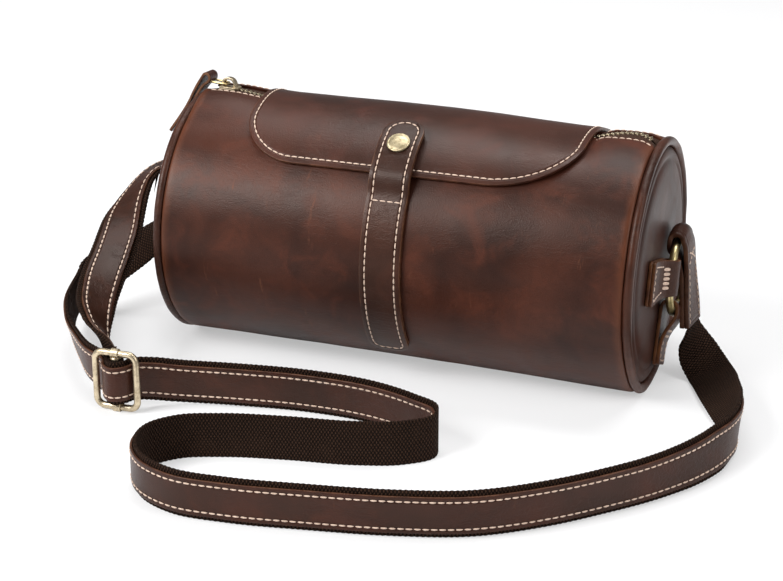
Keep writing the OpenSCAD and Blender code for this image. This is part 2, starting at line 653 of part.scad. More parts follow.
module strap_webbing() color(webbing_colour)
    band(strap_route, webbing_w, -strap_half_t, webbing_t - strap_half_t);
module strap_facing() color(leather_colour)
    band(tail(strap_route, facing_start), facing_w, strap_half_t - facing_t, strap_half_t);

// The strap's sewn end goes round the adjuster's middle bar
module strap_bar_loop() color(webbing_colour) translate(adjuster_at) difference() {
    cylinder(r = bar_d / 2 + bar_loop_gap + webbing_t, h = webbing_w, center = true);
    cylinder(r = bar_d / 2 + bar_loop_gap, h = webbing_w + 2 * overrun, center = true);
}

module adjuster_frame() color(brass_colour) translate(adjuster_at) rotate([90, 0, 0])
    wire_frame(adjuster_w - adjuster_wire_d, adjuster_h - adjuster_wire_d, adjuster_corner_r,
               adjuster_wire_d);

module adjuster_bar() color(brass_colour) translate(adjuster_at) {
    half_h = (adjuster_h - adjuster_wire_d) / 2;
    bar_l = 2 * half_h - adjuster_wire_d - seat_gap;
    cylinder(d = bar_d, h = bar_l, center = true);
    for (s = [-1, 1]) translate([-collar_l / 2, 0, s * half_h]) rotate([0, 90, 0]) difference() {
        cylinder(d = collar_d, h = collar_l);
        translate([0, 0, -overrun]) cylinder(d = adjuster_wire_d + seat_gap, h = collar_l + 2 * overrun);
    }
}

module left() mirror([1, 0, 0]) children();

body_wrap();
body_stiffener();
lining_wrap();
left() piping();  // left_piping
piping();  // right_piping
left() end_panel();  // left_end_panel
end_panel();  // right_end_panel
left() end_board();  // left_end_board
end_board();  // right_end_board
left() end_lining();  // left_end_lining
end_lining();  // right_end_lining
zip_tape(-1);  // zip_tape_front
zip_tape(1);  // zip_tape_back
zip_teeth(-1);  // zip_teeth_front
zip_teeth(1);  // zip_teeth_back
zip_top_stops();
zip_bottom_stop();
zip_slider();
zip_pull_link();
zip_pull_tab();
flap();
flap_lining();
flap_seam();
closing_strap();
closing_tongue();
snap_cap();
snap_socket();
snap_stud();
left() ring();  // left_ring
ring();  // right_ring
left() front_chape(left_chape_l);  // left_front_chape
front_chape(front_chape_l);  // right_front_chape
left() lower_chape();  // left_lower_chape
lower_chape();  // right_lower_chape
strap_end();
strap_webbing();
strap_facing();
strap_bar_loop();
adjuster_frame();
adjuster_bar();
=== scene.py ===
from math import atan2, cos, degrees, hypot, pi, radians, sin, sqrt

import bpy
import numpy as np
from mathutils import Matrix, Vector, noise


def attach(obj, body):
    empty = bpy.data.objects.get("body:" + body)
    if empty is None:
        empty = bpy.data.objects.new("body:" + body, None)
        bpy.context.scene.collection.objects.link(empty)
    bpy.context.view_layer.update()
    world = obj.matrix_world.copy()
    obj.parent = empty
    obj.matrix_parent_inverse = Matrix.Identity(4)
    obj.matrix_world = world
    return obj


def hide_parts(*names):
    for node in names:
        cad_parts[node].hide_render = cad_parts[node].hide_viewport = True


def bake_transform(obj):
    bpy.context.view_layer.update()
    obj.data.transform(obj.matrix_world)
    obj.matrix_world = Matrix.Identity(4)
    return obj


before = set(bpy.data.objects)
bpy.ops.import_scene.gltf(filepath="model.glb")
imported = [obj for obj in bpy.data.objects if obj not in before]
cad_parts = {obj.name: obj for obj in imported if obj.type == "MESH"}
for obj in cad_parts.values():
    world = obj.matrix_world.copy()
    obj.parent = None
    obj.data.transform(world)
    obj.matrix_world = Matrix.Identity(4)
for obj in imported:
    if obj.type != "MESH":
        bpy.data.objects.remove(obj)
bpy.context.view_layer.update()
scene = bpy.context.scene
mm = 0.001

# Camera
# A long lens looks down a little at the bag's front from its right side.
image_w = 783
focal_px = 2228
sensor_w = 36
target = Vector((-18, 0, 29)) * mm
distance = 1200 * mm
azimuth, elevation = radians(19), radians(22.5)

camera = bpy.data.objects.new("camera", bpy.data.cameras.new("camera"))
scene.collection.objects.link(camera)
camera.data.sensor_width = sensor_w
camera.data.lens = focal_px * sensor_w / image_w
camera.data.clip_start = 10 * mm
camera.location = target + distance * Vector(
    (sin(azimuth) * cos(elevation), -cos(azimuth) * cos(elevation), sin(elevation)))
camera.rotation_euler = (pi / 2 - elevation, 0, azimuth)
scene.camera = camera
scene.view_settings.view_transform = "Standard"

# Shoulder strap
# A woven cotton webbing, 23 mm wide, with a leather strip sewn along its outer side.
# Its route is the CAD strap's: the middle of its thickness, then the way to its lower edge.
webbing_w, webbing_t = 23 * mm, 1.4 * mm
facing_w, facing_t = 18.5 * mm, 1.3 * mm
strap_half_t = 1.5 * mm
selvedge_bulge, selvedge_pitch = 0.3 * mm, 2.6 * mm
route_steps, facing_start = 6, 2
strap_route = [
    [142.3, 14, 26.6, 0, -10, 0], [142.8, 14, 22.5, -1.5, -9.9, 0], [144.3, 13.5, 17.5, -4.6, -8.9, -0.3],
    [149.1, 10.7, 9.9, -7.6, -5.9, -2.7], [154.9, 4.3, 5.8, -7.8, -4.2, -4.6],
    [159.5, -4.2, 5.5, -8, -4, -4.5], [163.1, -13.1, 6.7, -7.6, -3.8, -5.3],
    [166.3, -22.1, 8.4, -6.9, -3.6, -6.3], [169.6, -31.1, 9.8, -5.9, -3.2, -7.4],
    [173.2, -40, 10.5, -5.2, -2.7, -8.1], [177.1, -48.9, 10.9, -4.3, -2.1, -8.8],
    [180.7, -57.8, 11.4, -2.7, -1.3, -9.6], [183.3, -67.1, 11.7, -1.1, -0.6, -9.9],
    [184, -76.8, 12, 0.1, -0.4, -10], [182.7, -87.6, 12.3, 0.9, -0.4, -10],
    [180, -97.6, 12.3, 1.9, -0.7, -9.8], [176.2, -107.1, 12.1, 1.7, -0.7, -9.8],
    [171.7, -116.1, 12, 1.4, -0.7, -9.9], [166.5, -124.5, 11.9, 0.9, -0.5, -9.9],
    [154.7, -140.5, 11.8, 0.3, -0.1, -10], [140.7, -155.5, 11.7, 0, 0, -10], [118, -177, 11.7, 0, 0, -10],
    [88, -197.5, 11.7, 0, 0, -10], [54, -208.5, 11.7, 0, 0, -10], [14, -216.2, 11.7, 0, 0, -10],
    [-22, -221.4, 11.7, 0, 0, -10], [-50, -221, 11.7, 0, 0, -10], [-70, -210.5, 11.7, 0, 0, -10],
    [-79.4, -195.8, 11.7, 0, 0, -10], [-79.6, -181, 11.7, 0, 0, -10], [-70, -168, 11.7, 0, 0, -10],
    [-50, -159, 11.7, 0, 0, -10], [-20, -152, 11.7, 0, 0, -10], [15, -146, 11.7, 0, 0, -10],
    [36, -138, 11.7, 0, 0, -10], [46.8, -127, 11.7, 0, 0, -10], [44.6, -117, 11.7, 0, 0, -10],
    [31, -109.5, 11.7, 0, 0, -10], [8, -102, 11.7, 0, 0, -10], [-28, -100, 11.7, 0, 0, -10],
    [-65, -105.5, 12.2, 0, 0, -10], [-95, -113.5, 13.4, 0, 0, -10], [-105.5, -120, 15.8, 0, 0, -10],
    [-111.9, -125.1, 16.9, 0, 0, -10], [-115.7, -131.7, 16.9, 0, 0, -10],
    [-120.2, -134.5, 16.9, 0, 0, -10], [-124.7, -131.7, 16.9, 0, 0, -10],
    [-128.5, -125.1, 16.9, 0, 0, -10], [-142.6, -113.9, 17, 0, 1.5, -9.8], [-158, -95, 16, -1, 4.5, -8.8],
    [-174, -72, 15.5, -1, 5.5, -8.2], [-186, -48, 16.8, -0.5, 2.5, -9.6], [-189, -26, 19.8, 0, -4, -9],
    [-179.5, -7, 26.6, 1, -6, -8], [-164, 5, 36, 2, -8, -6], [-152, 12, 47, 1, -9, -4],
    [-142, 15.5, 56.5, 0, -10, -1], [-136, 16.1, 60.4, 0, -10, 0], [-132.4, 16.1, 62.2, 0, -10, 0],
    [-130.6, 16.1, 66, 0, -10, 0], [-130.5, 16.1, 74.5, 0, -10, 0], [-132.3, 16, 78.2, 0, -10, 0.6],
    [-137, 15, 80.6, 0, -9.9, 1.4], [-145, 12.5, 82.4, 0, -9.8, 1.9], [-152.1, 9, 82.5, 4.7, -8.7, 1.7],
    [-158.1, 5, 80.1, 5, -8.5, 1.8], [-161.3, -2, 76.5, 5.9, -7.9, 1.6],
    [-162.8, -11, 71.5, 7.4, -6.7, 0.9], [-162.7, -23, 65.1, 9.2, -3.8, -0.3],
    [-159.6, -38, 58.9, 9.8, -0.1, -1.8], [-156.7, -54, 52.5, 9.6, 0.6, -2.6],
    [-154.6, -69, 46.5, 8.9, 2.9, -3.5], [-152.1, -82, 40.6, 6.3, 6.7, -3.9],
    [-148.1, -93, 36.5, 3, 9, -3.2], [-143.5, -101, 31.9, -0.3, 9.4, -3.4],
    [-132.3, -112, 22.6, 0, 1, -10], [-124.5, -120.5, 17, 0, 0, -10], [-122, -124.5, 16.9, 0, 0, -10]]


def smooth_route(rows, pieces):
    """Rows of numbers on one smooth curve through the given rows, that many to each gap"""
    rows = np.array(rows, float)
    gaps = np.linalg.norm(np.diff(rows[:, :3], axis=0), axis=1)[:, None]
    slopes = np.diff(rows, axis=0) / gaps
    turns = (slopes[:-1] * gaps[1:] + slopes[1:] * gaps[:-1]) / (gaps[:-1] + gaps[1:])
    turns = np.vstack([slopes[:1], turns, slopes[-1:]])
    points = []
    for i, gap in enumerate(gaps[:, 0]):
        for t in np.arange(pieces) / pieces:
            points.append((1 + 2 * t) * (1 - t) ** 2 * rows[i] + t * t * (3 - 2 * t) * rows[i + 1]
                          + gap * (t * (1 - t) ** 2 * turns[i] - t * t * (1 - t) * turns[i + 1]))
    return np.array(points + [rows[-1]])


def unit(vectors):
    """The same vectors, one long"""
    return vectors / np.linalg.norm(vectors, axis=-1, keepdims=True)


def along(points):
    """How far along a line of points each of them is"""
    return np.concatenate([[0], np.cumsum(np.linalg.norm(np.diff(points, axis=0), axis=1))])


def line_at(rows, far, where):
    """The rows of a line at some distances along it"""
    return np.stack([np.interp(where, far, rows[:, k]) for k in range(rows.shape[1])], -1)


def evenly(rows, step):
    """The same line of rows, with one every step of its length"""
    far = along(rows[:, :3] * mm)
    return line_at(rows, far, np.linspace(0, far[-1], round(far[-1] / step) + 1))


def new_piece(name, points, faces, edges=()):
    """A piece from its points and the faces, or the edges, between them"""
    mesh = bpy.data.meshes.new(name)
    mesh.from_pydata([tuple(p) for p in points], list(edges), faces)
    piece = bpy.data.objects.new(name, mesh)
    scene.collection.objects.link(piece)
    return piece


def lay_sheet(name, points, flat, edge):
    """A sheet of leather or cloth from rows of points, facing the side from which the rows run up
    and each row's points run to the left. flat is where each point lay on the cutting table, and
    edge how far it is from the cut edge."""
    rows, columns = points.shape[:2]
    index = np.arange(rows * columns).reshape(rows, columns)
    faces = np.stack([index[:-1, :-1], index[1:, :-1], index[1:, 1:], index[:-1, 1:]], -1).reshape(-1, 4)
    sheet = new_piece(name, points.reshape(-1, 3), faces.tolist())
    cut = sheet.data.uv_layers.new(name="cut")
    cut.data.foreach_set("uv", flat.reshape(-1, 2)[faces.ravel()].ravel())
    sheet.data.attributes.new("edge", "FLOAT", "POINT").data.foreach_set("value", edge.ravel())
    return sheet


def pick(*objects):
    """Selects these objects alone, and makes the first one active"""
    bpy.ops.object.select_all(action="DESELECT")
    for o in objects:
        o.select_set(True)
    bpy.context.view_layer.objects.active = objects[0]


def thicken(piece, thickness, rounding=0):
    """Gives a sheet its thickness behind its face. Its cut edges take the second material."""
    solid = piece.modifiers.new("thickness", "SOLIDIFY")
    solid.thickness, solid.offset, solid.use_even_offset = thickness, -1, True
    solid.material_offset_rim = 1
    if rounding:
        bevel = piece.modifiers.new("rounding", "BEVEL")
        bevel.width, bevel.segments, bevel.limit_method = rounding, 2, "ANGLE"
        bevel.angle_limit = radians(55)
    pick(piece)
    for modifier in list(piece.modifiers):
        bpy.ops.object.modifier_apply(modifier=modifier.name)


def smooth_by_angle(piece, angle):
    pick(piece)
    bpy.ops.object.shade_smooth_by_angle(angle=radians(angle))


def keep_above_table(piece):
    for v in piece.data.vertices:
        v.co.z = max(v.co.z, 0)


def strap_band(name, stations, width, low, high, columns, rounding, selvedge=0):
    """A band along the strap's route, between two depths of its thickness"""
    place, lean = stations[:, :3] * mm, stations[:, 3:6]
    tangent = unit(np.gradient(place, axis=0))
    across = unit(lean - np.sum(lean * tangent, axis=1, keepdims=True) * tangent)
    out = np.cross(tangent, across)
    share = np.linspace(-1, 1, columns + 1)
    points = place[:, None] + out[:, None] * high + across[:, None] * share[None, :, None] * width / 2
    far = along(place)
    if selvedge:
        bulge = selvedge * (0.5 + 0.5 * np.sin(far * 2 * pi / selvedge_pitch))
        rim = np.sign(share) * (np.abs(share) > 0.99)
        points += across[:, None] * rim[None, :, None] * bulge[:, None, None]
    flat = np.stack(np.broadcast_arrays(far[:, None], share[None] * width / 2), -1)
    edge = np.minimum(width / 2 * (1 - np.abs(share))[None], np.minimum(far, far[-1] - far)[:, None])
    band = lay_sheet(name, points, flat, edge)
    thicken(band, high - low, rounding)
    keep_above_table(band)
    smooth_by_angle(band, 60)
    return band, place, across, out, far


def linear(code):
    """An sRGB hex colour as the linear one that a shader takes"""
    shares = [int(code[i:i + 2], 16) / 255 for i in (1, 3, 5)]
    return [s / 12.92 if s <= 0.04045 else ((s + 0.055) / 1.055) ** 2.4 for s in shares] + [1]


def node(tree, kind, settings=None, **inputs):
    """Adds a node. Inputs go by name, or by place after an n, and each is a value or a link."""
    new = tree.nodes.new("ShaderNode" + kind)
    for name, value in (settings or {}).items():
        setattr(new, name, value)
    for name, value in inputs.items():
        socket = new.inputs[int(name[1:]) if name[0] == "n" else name.replace("_", " ")]
        if isinstance(value, bpy.types.NodeSocket):
            tree.links.new(value, socket)
        else:
            socket.default_value = value
    return new


def new_material(name, roughness, metallic=0, **sockets):
    made = bpy.data.materials.new(name)
    made.use_nodes = True
    shader = made.node_tree.nodes["Principled BSDF"]
    shader.inputs["Roughness"].default_value = roughness
    shader.inputs["Metallic"].default_value = metallic
    for socket, value in sockets.items():
        shader.inputs[socket.replace("_", " ")].default_value = value
    return made, made.node_tree, shader


def mask(tree, value, low, high):
    """A value's smooth step from 0 at low to 1 at high"""
    return node(tree, "MapRange", {"interpolation_type": "SMOOTHSTEP"},
                Value=value, From_Min=low, From_Max=high).outputs[0]


def mix(tree, share, first, second):
    """Colour first turned into second by a share"""
    return node(tree, "Mix", {"data_type": "RGBA"}, n0=share, n6=first, n7=second).outputs[2]


def math(tree, operation, first, second):
    return node(tree, "Math", {"operation": operation}, n0=first, n1=second).outputs[0]


def noise_at(tree, place, size, detail=3, rough=0.5, twist=0):
    """Cloudy noise whose lumps are about that size"""
    return node(tree, "TexNoise", Vector=place, Scale=1 / size, Detail=detail,
                Roughness=rough, Distortion=twist).outputs["Fac"]


def stretched(tree, place, scale, turn=(0, 0, 0)):
    return node(tree, "Mapping", Vector=place, Rotation=turn, Scale=scale).outputs[0]


# Woven cotton: thick warp yarns along the strap show as ribs, crossed by slanting rows of weft.
# It looks dull and nearly black, with paler fibres on the crowns of the yarns.
def cotton_webbing(name, dark, pale, yarn, row):
    made, tree, shader = new_material(name, 0.95, Specular_IOR_Level=0.1)
    cut = node(tree, "UVMap", {"uv_map": "cut"}).outputs[0]
    split = node(tree, "SeparateXYZ", Vector=cut)
    length, across = split.outputs["X"], split.outputs["Y"]
    wobble = math(tree, "MULTIPLY", noise_at(tree, cut, 3 * mm, 2), 0.5 * mm)
    rib = math(tree, "SINE", math(tree, "MULTIPLY", math(tree, "ADD", across, wobble), pi / yarn), 0)
    weft = math(tree, "SINE", math(tree, "MULTIPLY", math(tree, "ADD", length, wobble), pi / row), 0)
    weave = math(tree, "ABSOLUTE", math(tree, "ADD", rib, weft), 0)
    fibre = noise_at(tree, cut, 0.6 * mm, 3, 0.7)
    crown = mask(tree, math(tree, "ADD", weave, fibre), 0.7, 2.3)
    worn = noise_at(tree, cut, 14 * mm, 2)
    colour = mix(tree, crown, linear(dark), linear(pale))
    colour = mix(tree, math(tree, "MULTIPLY", mask(tree, worn, 0.45, 0.8), 0.2), colour, linear(pale))
    tree.links.new(colour, shader.inputs["Base Color"])
    bump = node(tree, "Bump", Strength=1, Distance=0.4 * mm,
                Height=math(tree, "ADD", weave, math(tree, "MULTIPLY", fibre, 0.8)))
    tree.links.new(bump.outputs[0], shader.inputs["Normal"])
    return made


# Pull-up leather: full-grain cowhide with wax rubbed in. It is dark where it is flat and untouched,
# and paler and redder where the wax has moved, with soft scuffs, fine creases and a low, broad shine.
def leather(name, deep, middle, warm, scuffed, roughness=0.4, grain=1.0, scuffs=0.5, creases=0.5,
            edge_colour=None, stitch_line=None, ends=None, shine=0.25):
    made, tree, shader = new_material(name, roughness, Coat_Weight=0.16 * shine, Coat_Roughness=0.3,
                                      Specular_IOR_Level=shine, Specular_Tint=(1, 0.87, 0.8, 1))
    place = node(tree, "TexCoord").outputs["Object"]
    clouds = noise_at(tree, place, 48 * mm, 3, 0.55, 0.4)
    patches = noise_at(tree, place, 21 * mm, 4, 0.6, 0.6)
    specks = noise_at(tree, place, 3.2 * mm, 4, 0.65)
    colour = mix(tree, mask(tree, clouds, 0.3, 0.7), linear(deep), linear(middle))
    colour = mix(tree, math(tree, "MULTIPLY", mask(tree, patches, 0.45, 0.8), 0.6), colour, linear(warm))
    colour = mix(tree, math(tree, "MULTIPLY", mask(tree, specks, 0.5, 0.8), 0.3), colour, linear(deep))
    streaks = noise_at(tree, stretched(tree, place, (1, 0.22, 0.22), (0, 0, 0.35)), 3.5 * mm, 5, 0.7)
    where = noise_at(tree, place, 30 * mm, 2)
    scuff = math(tree, "MULTIPLY", mask(tree, streaks, 0.58, 0.75), mask(tree, where, 0.5, 0.68))
    colour = mix(tree, math(tree, "MULTIPLY", scuff, scuffs), colour, linear(scuffed))
    edge = node(tree, "Attribute", {"attribute_name": "edge"}).outputs["Fac"]
    if edge_colour:
        rub = math(tree, "MULTIPLY", noise_at(tree, place, 6 * mm, 3), 1.3 * mm)
        near = mask(tree, math(tree, "ADD", edge, rub), 1.1 * mm, 0.2 * mm)
        colour = mix(tree, math(tree, "MULTIPLY", near, 0.6), colour, linear(edge_colour))
    if ends:
        at, width, shade = ends
        x = math(tree, "ABSOLUTE", node(tree, "SeparateXYZ", Vector=place).outputs["X"], 0)
        ragged = math(tree, "ADD", x, math(tree, "MULTIPLY", math(tree, "SUBTRACT", patches, 0.5), 5 * mm))
        turned = math(tree, "MULTIPLY", mask(tree, ragged, at - width, at), 0.5)
        colour = mix(tree, turned, colour, linear(shade))
    tree.links.new(colour, shader.inputs["Base Color"])
    gloss = math(tree, "ADD", math(tree, "MULTIPLY", math(tree, "SUBTRACT", patches, 0.5), 0.25), roughness)
    gloss = math(tree, "ADD", gloss, math(tree, "MULTIPLY", scuff, 0.15))
    tree.links.new(gloss, shader.inputs["Roughness"])
    cells = node(tree, "TexVoronoi", {"feature": "DISTANCE_TO_EDGE"}, Vector=place, Scale=1 / (1.1 * mm))
    pebble = mask(tree, cells.outputs[0], 0.0, 0.35)
    fine = noise_at(tree, place, 0.45 * mm, 2)
    folds = noise_at(tree, stretched(tree, place, (0.3, 1, 1), (0.3, 0, 0.5)), 4 * mm, 5, 0.6, 0.8)
    fold = mask(tree, math(tree, "ABSOLUTE", math(tree, "SUBTRACT", folds, 0.5), 0), 0.0, 0.09)
    height = math(tree, "ADD", math(tree, "MULTIPLY", pebble, 0.5), math(tree, "MULTIPLY", fine, 0.5))
    grained = node(tree, "Bump", Strength=0.45 * grain, Distance=0.12 * mm, Height=height)
    fold = math(tree, "MULTIPLY", fold, mask(tree, where, 0.35, 0.6))
    creased = node(tree, "Bump", Strength=creases, Distance=0.12 * mm, Height=fold, Normal=grained.outputs[0])
    normal = creased.outputs[0]
    if stitch_line:
        dip = math(tree, "ABSOLUTE", math(tree, "SUBTRACT", edge, stitch_line), 0)
        pulled = node(tree, "Bump", Strength=0.9, Distance=0.5 * mm, Height=mask(tree, dip, 0.0, 1.1 * mm),
                      Normal=normal)
        normal = pulled.outputs[0]
    tree.links.new(normal, shader.inputs["Normal"])
    return made


# The cut edge of the leather: tan fibre that was never dyed, rubbed and slightly fuzzy.
def cut_edge(name, pale, dark):
    made, tree, shader = new_material(name, 0.75, Specular_IOR_Level=0.3)
    place = node(tree, "TexCoord").outputs["Object"]
    rubbed = mask(tree, noise_at(tree, place, 2.2 * mm, 4, 0.7), 0.35, 0.7)
    colour = mix(tree, rubbed, linear(pale), linear(dark))
    tree.links.new(colour, shader.inputs["Base Color"])
    bump = node(tree, "Bump", Strength=0.5, Distance=0.15 * mm, Height=noise_at(tree, place, 0.5 * mm, 3))
    tree.links.new(bump.outputs[0], shader.inputs["Normal"])
    return made


# Waxed linen thread: cream, twisted from three strands, with a dull shine.
def waxed_thread():
    made, tree, shader = new_material("waxed linen thread", 0.6, Sheen_Weight=0.2, Specular_IOR_Level=0.35)
    place = node(tree, "TexCoord").outputs["Object"]
    colour = mix(tree, noise_at(tree, place, 1.2 * mm, 2), linear("#b39480"), linear("#e2cbb8"))
    tree.links.new(colour, shader.inputs["Base Color"])
    return made


webbing_cloth = cotton_webbing("woven cotton webbing", "#140b07", "#3f2c21", 1.4 * mm, 0.85 * mm)
strap_leather = leather("waxed strap leather", "#28130a", "#3a1c12", "#462214", "#6f432a", 0.42,
                        edge_colour="#6b4630", stitch_line=2.4 * mm, creases=0.8)
tan_edge = cut_edge("cut edge of leather", "#b98a64", "#8a5f40")
linen = waxed_thread()


def finish(piece, body, slot_name, materials, *nodes):
    """Gives a piece its materials and body, and hides the CAD nodes that it stands for. Its slot_name is not
    used.
    """
    for m in materials:
        piece.data.materials.append(m)
    if body:
        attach(piece, body)
    if nodes:
        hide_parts(*nodes)
    return piece


def reshape(piece, *steps):
    """Runs steps in edit mode, each on the whole of a piece"""
    pick(piece)
    bpy.ops.object.mode_set(mode="EDIT")
    for step in steps:
        bpy.ops.mesh.select_all(action="SELECT")
        step()
    bpy.ops.object.mode_set(mode="OBJECT")


def face_outwards():
    bpy.ops.mesh.normals_make_consistent(inside=False)


def turn_upright():
    bpy.ops.transform.rotate(value=pi / 2, orient_axis="Y", center_override=(0, 0, 0))


def as_pattern(piece):
    """A piece's points and faces, kept to be copied many times. The piece itself goes."""
    points = np.array([v.co for v in piece.data.vertices])
    faces = [list(f.vertices) for f in piece.data.polygons]
    bpy.data.objects.remove(piece)
    return points, faces


# Stitches
# Waxed thread, sewn by machine: each stitch is a bent grain of it whose ends go down into the leather.
stitch_w, stitch_h = 0.95 * mm, 0.6 * mm
bpy.ops.object.select_all(action="DESELECT")
bpy.ops.mesh.primitive_uv_sphere_add(segments=8, ring_count=6, radius=1)
one_stitch = bpy.context.active_object
reshape(one_stitch, turn_upright)
stitch_points, stitch_faces = as_pattern(one_stitch)
stitch_points[:, 2] -= 0.9 * stitch_points[:, 0] ** 2


def sew(name, lines, body, slot_name, pitch=3.8 * mm, dash=3.35 * mm, lift=0.12 * mm, thick=1.0):
    """Rows of stitches. Each line is its points and the leather's normals there."""
    points, faces = [], []
    for line, normals in lines:
        far = along(line)
        count = max(1, round(far[-1] / pitch))
        middles = (np.arange(count) + 0.5) * far[-1] / count
        centre, up = line_at(line, far, middles), unit(line_at(normals, far, middles))
        way = unit(line_at(line, far, middles + dash / 2) - line_at(line, far, middles - dash / 2))
        side = unit(np.cross(up, way))
        up = np.cross(way, side)
        grain = stitch_points * (dash / 2, stitch_w / 2 * thick, stitch_h / 2 * thick)
        for c, w, s, u in zip(centre, way, side, up):
            faces += [[len(points) + k for k in f] for f in stitch_faces]
            points += list(c + u * lift + grain[:, :1] * w + grain[:, 1:2] * s + grain[:, 2:] * u)
    row = new_piece(name, points, faces)
    row.data.shade_smooth()
    return finish(row, body, slot_name, [linen])


# Strap's two layers
# The webbing runs on from the bag to the adjuster, and the leather strip is sewn along its outer side
# in two rows.
route = smooth_route(strap_route, route_steps)
webbing, strap_place, _, _, strap_far = strap_band(
    "strap_web", evenly(route, 0.65 * mm), webbing_w - selvedge_bulge, -strap_half_t,
    webbing_t - strap_half_t, 10, 0.3 * mm, selvedge_bulge)
facing, facing_place, facing_across, facing_out, _ = strap_band(
    "strap_leather_strip", evenly(route[facing_start * route_steps:], 2 * mm), facing_w,
    strap_half_t - facing_t, strap_half_t, 12, 0.35 * mm)
finish(webbing, "bag", "webbing", [webbing_cloth, webbing_cloth], "strap_webbing")
finish(facing, "bag", "strap_leather", [strap_leather, tan_edge], "strap_facing")
seam_in = 2.4 * mm
strap_seams = sew("strap_stitches", [
    (facing_place + facing_out * strap_half_t + side * facing_across * (facing_w / 2 - seam_in), facing_out)
    for side in (-1, 1)], "bag", "strap_leather")

# Adjuster
# A rectangular buckle bent from 3.2 mm wire and welded shut, with a bar across its middle that turns
# on two collars. It is zinc, brass plated and then darkened, so its hollows are browner than its crowns.
adjuster_at = np.array([-120.2, -128.9, 16.9]) * mm
adjuster_w, adjuster_h, adjuster_wire = 25.8 * mm, 33 * mm, 3.5 * mm
adjuster_corner = 6 * mm
bar_d = 2.6 * mm


def antique_brass(name, bright, tarnish, roughness=0.3):
    """Plated brass, rubbed bright on its crowns and browner where it was never rubbed"""
    made, tree, shader = new_material(name, roughness, 1)
    place = node(tree, "TexCoord").outputs["Object"]
    stain = noise_at(tree, place, 5 * mm, 4, 0.65)
    spots = noise_at(tree, place, 0.9 * mm, 3, 0.7)
    dull = mask(tree, math(tree, "ADD", stain, math(tree, "MULTIPLY", spots, 0.35)), 0.55, 0.95)
    tree.links.new(mix(tree, dull, linear(bright), linear(tarnish)), shader.inputs["Base Color"])
    rubbed = math(tree, "ADD", math(tree, "MULTIPLY", dull, 0.25), roughness)
    tree.links.new(rubbed, shader.inputs["Roughness"])
    bump = node(tree, "Bump", Strength=0.25, Distance=0.08 * mm, Height=math(tree, "ADD", spots, stain))
    tree.links.new(bump.outputs[0], shader.inputs["Normal"])
    return made


brass = antique_brass("antique brass plate", "#d8c594", "#8b7444")
pale_brass = antique_brass("pale brass plate", "#cdbea2", "#9a8b72", 0.34)
ring_brass = antique_brass("dull brass plate", "#cdbd8c", "#7f6f42", 0.3)


def wire_loop(name, points, radius, sides):
    """A closed loop of wire through points: a curve with a round section, made a mesh"""
    curve = bpy.data.curves.new(name, "CURVE")
    curve.dimensions, curve.fill_mode = "3D", "FULL"
    curve.bevel_depth, curve.bevel_resolution = radius, sides // 4 - 1
    spline = curve.splines.new("POLY")
    spline.points.add(len(points) - 1)
    for p, co in zip(spline.points, points):
        p.co = (*co, 1)
    spline.use_cyclic_u = True
    wire = bpy.data.objects.new(name, curve)
    scene.collection.objects.link(wire)
    pick(wire)
    bpy.ops.object.convert(target="MESH")
    wire = bpy.context.active_object
    wire.name = name
    wire.data.shade_smooth()
    return wire


def rounded_frame(length, width, corner, steps=10):
    """Points round a rectangle with round corners, in its own plane"""
    points = []
    for k, (sx, sy) in enumerate([(1, 1), (-1, 1), (-1, -1), (1, -1)]):
        middle_u, middle_v = sx * (length / 2 - corner), sy * (width / 2 - corner)
        for a in np.linspace(k * pi / 2, (k + 1) * pi / 2, steps):
            points.append((middle_u + corner * cos(a), middle_v + corner * sin(a)))
    return points


buckle = wire_loop("adjuster_buckle", [adjuster_at + np.array([u, 0, v]) for u, v in rounded_frame(
    adjuster_w - adjuster_wire, adjuster_h - adjuster_wire, adjuster_corner - adjuster_wire / 2)],
    adjuster_wire / 2, 20)
finish(buckle, "bag", "brass", [pale_brass], "adjuster_frame")


def lathe(name, profile, centre, axis, steps=48):
    """A turned piece: a profile of (distance along the axis, radius), spun round it"""
    axis = Vector(axis).normalized()
    side = axis.orthogonal().normalized()
    points = [Vector(centre) + axis * a + side * r for a, r in profile]
    turned = new_piece(name, points, [], [(i, i + 1) for i in range(len(points) - 1)])
    reshape(turned, lambda: bpy.ops.mesh.spin(steps=steps, angle=2 * pi, center=centre, axis=axis),
            lambda: bpy.ops.mesh.remove_doubles(threshold=0.002 * mm), face_outwards)
    smooth_by_angle(turned, 35)
    return turned


half_bar = adjuster_h / 2 - adjuster_wire
upper_half = [(half_bar - 1.5 * mm, bar_d / 2), (half_bar - 1.2 * mm, bar_d), (half_bar - 0.5 * mm, bar_d),
              (half_bar, 0.8 * bar_d), (half_bar, 0)]
bar_section = [(-a, r) for a, r in upper_half[::-1]] + upper_half
bar = lathe("adjuster_middle_bar", bar_section, adjuster_at, (0, 0, 1), 20)
collar_in, collar_out = adjuster_wire / 2 + 0.05 * mm, adjuster_wire / 2 + 0.8 * mm
collar_section = [(-2.1 * mm, collar_in), (-2.1 * mm, collar_out - 0.3 * mm), (-1.8 * mm, collar_out),
                  (1.8 * mm, collar_out), (2.1 * mm, collar_out - 0.3 * mm), (2.1 * mm, collar_in),
                  (-2.1 * mm, collar_in)]
to_collar = np.array([0, 0, (adjuster_h - adjuster_wire) / 2])
collars = [lathe("collar", collar_section, adjuster_at + s * to_collar, (1, 0, 0), 24) for s in (-1, 1)]
pick(bar, *collars)
bpy.ops.object.join()
keep_above_table(bar)
finish(bar, "bag", "brass", [pale_brass], "adjuster_bar")

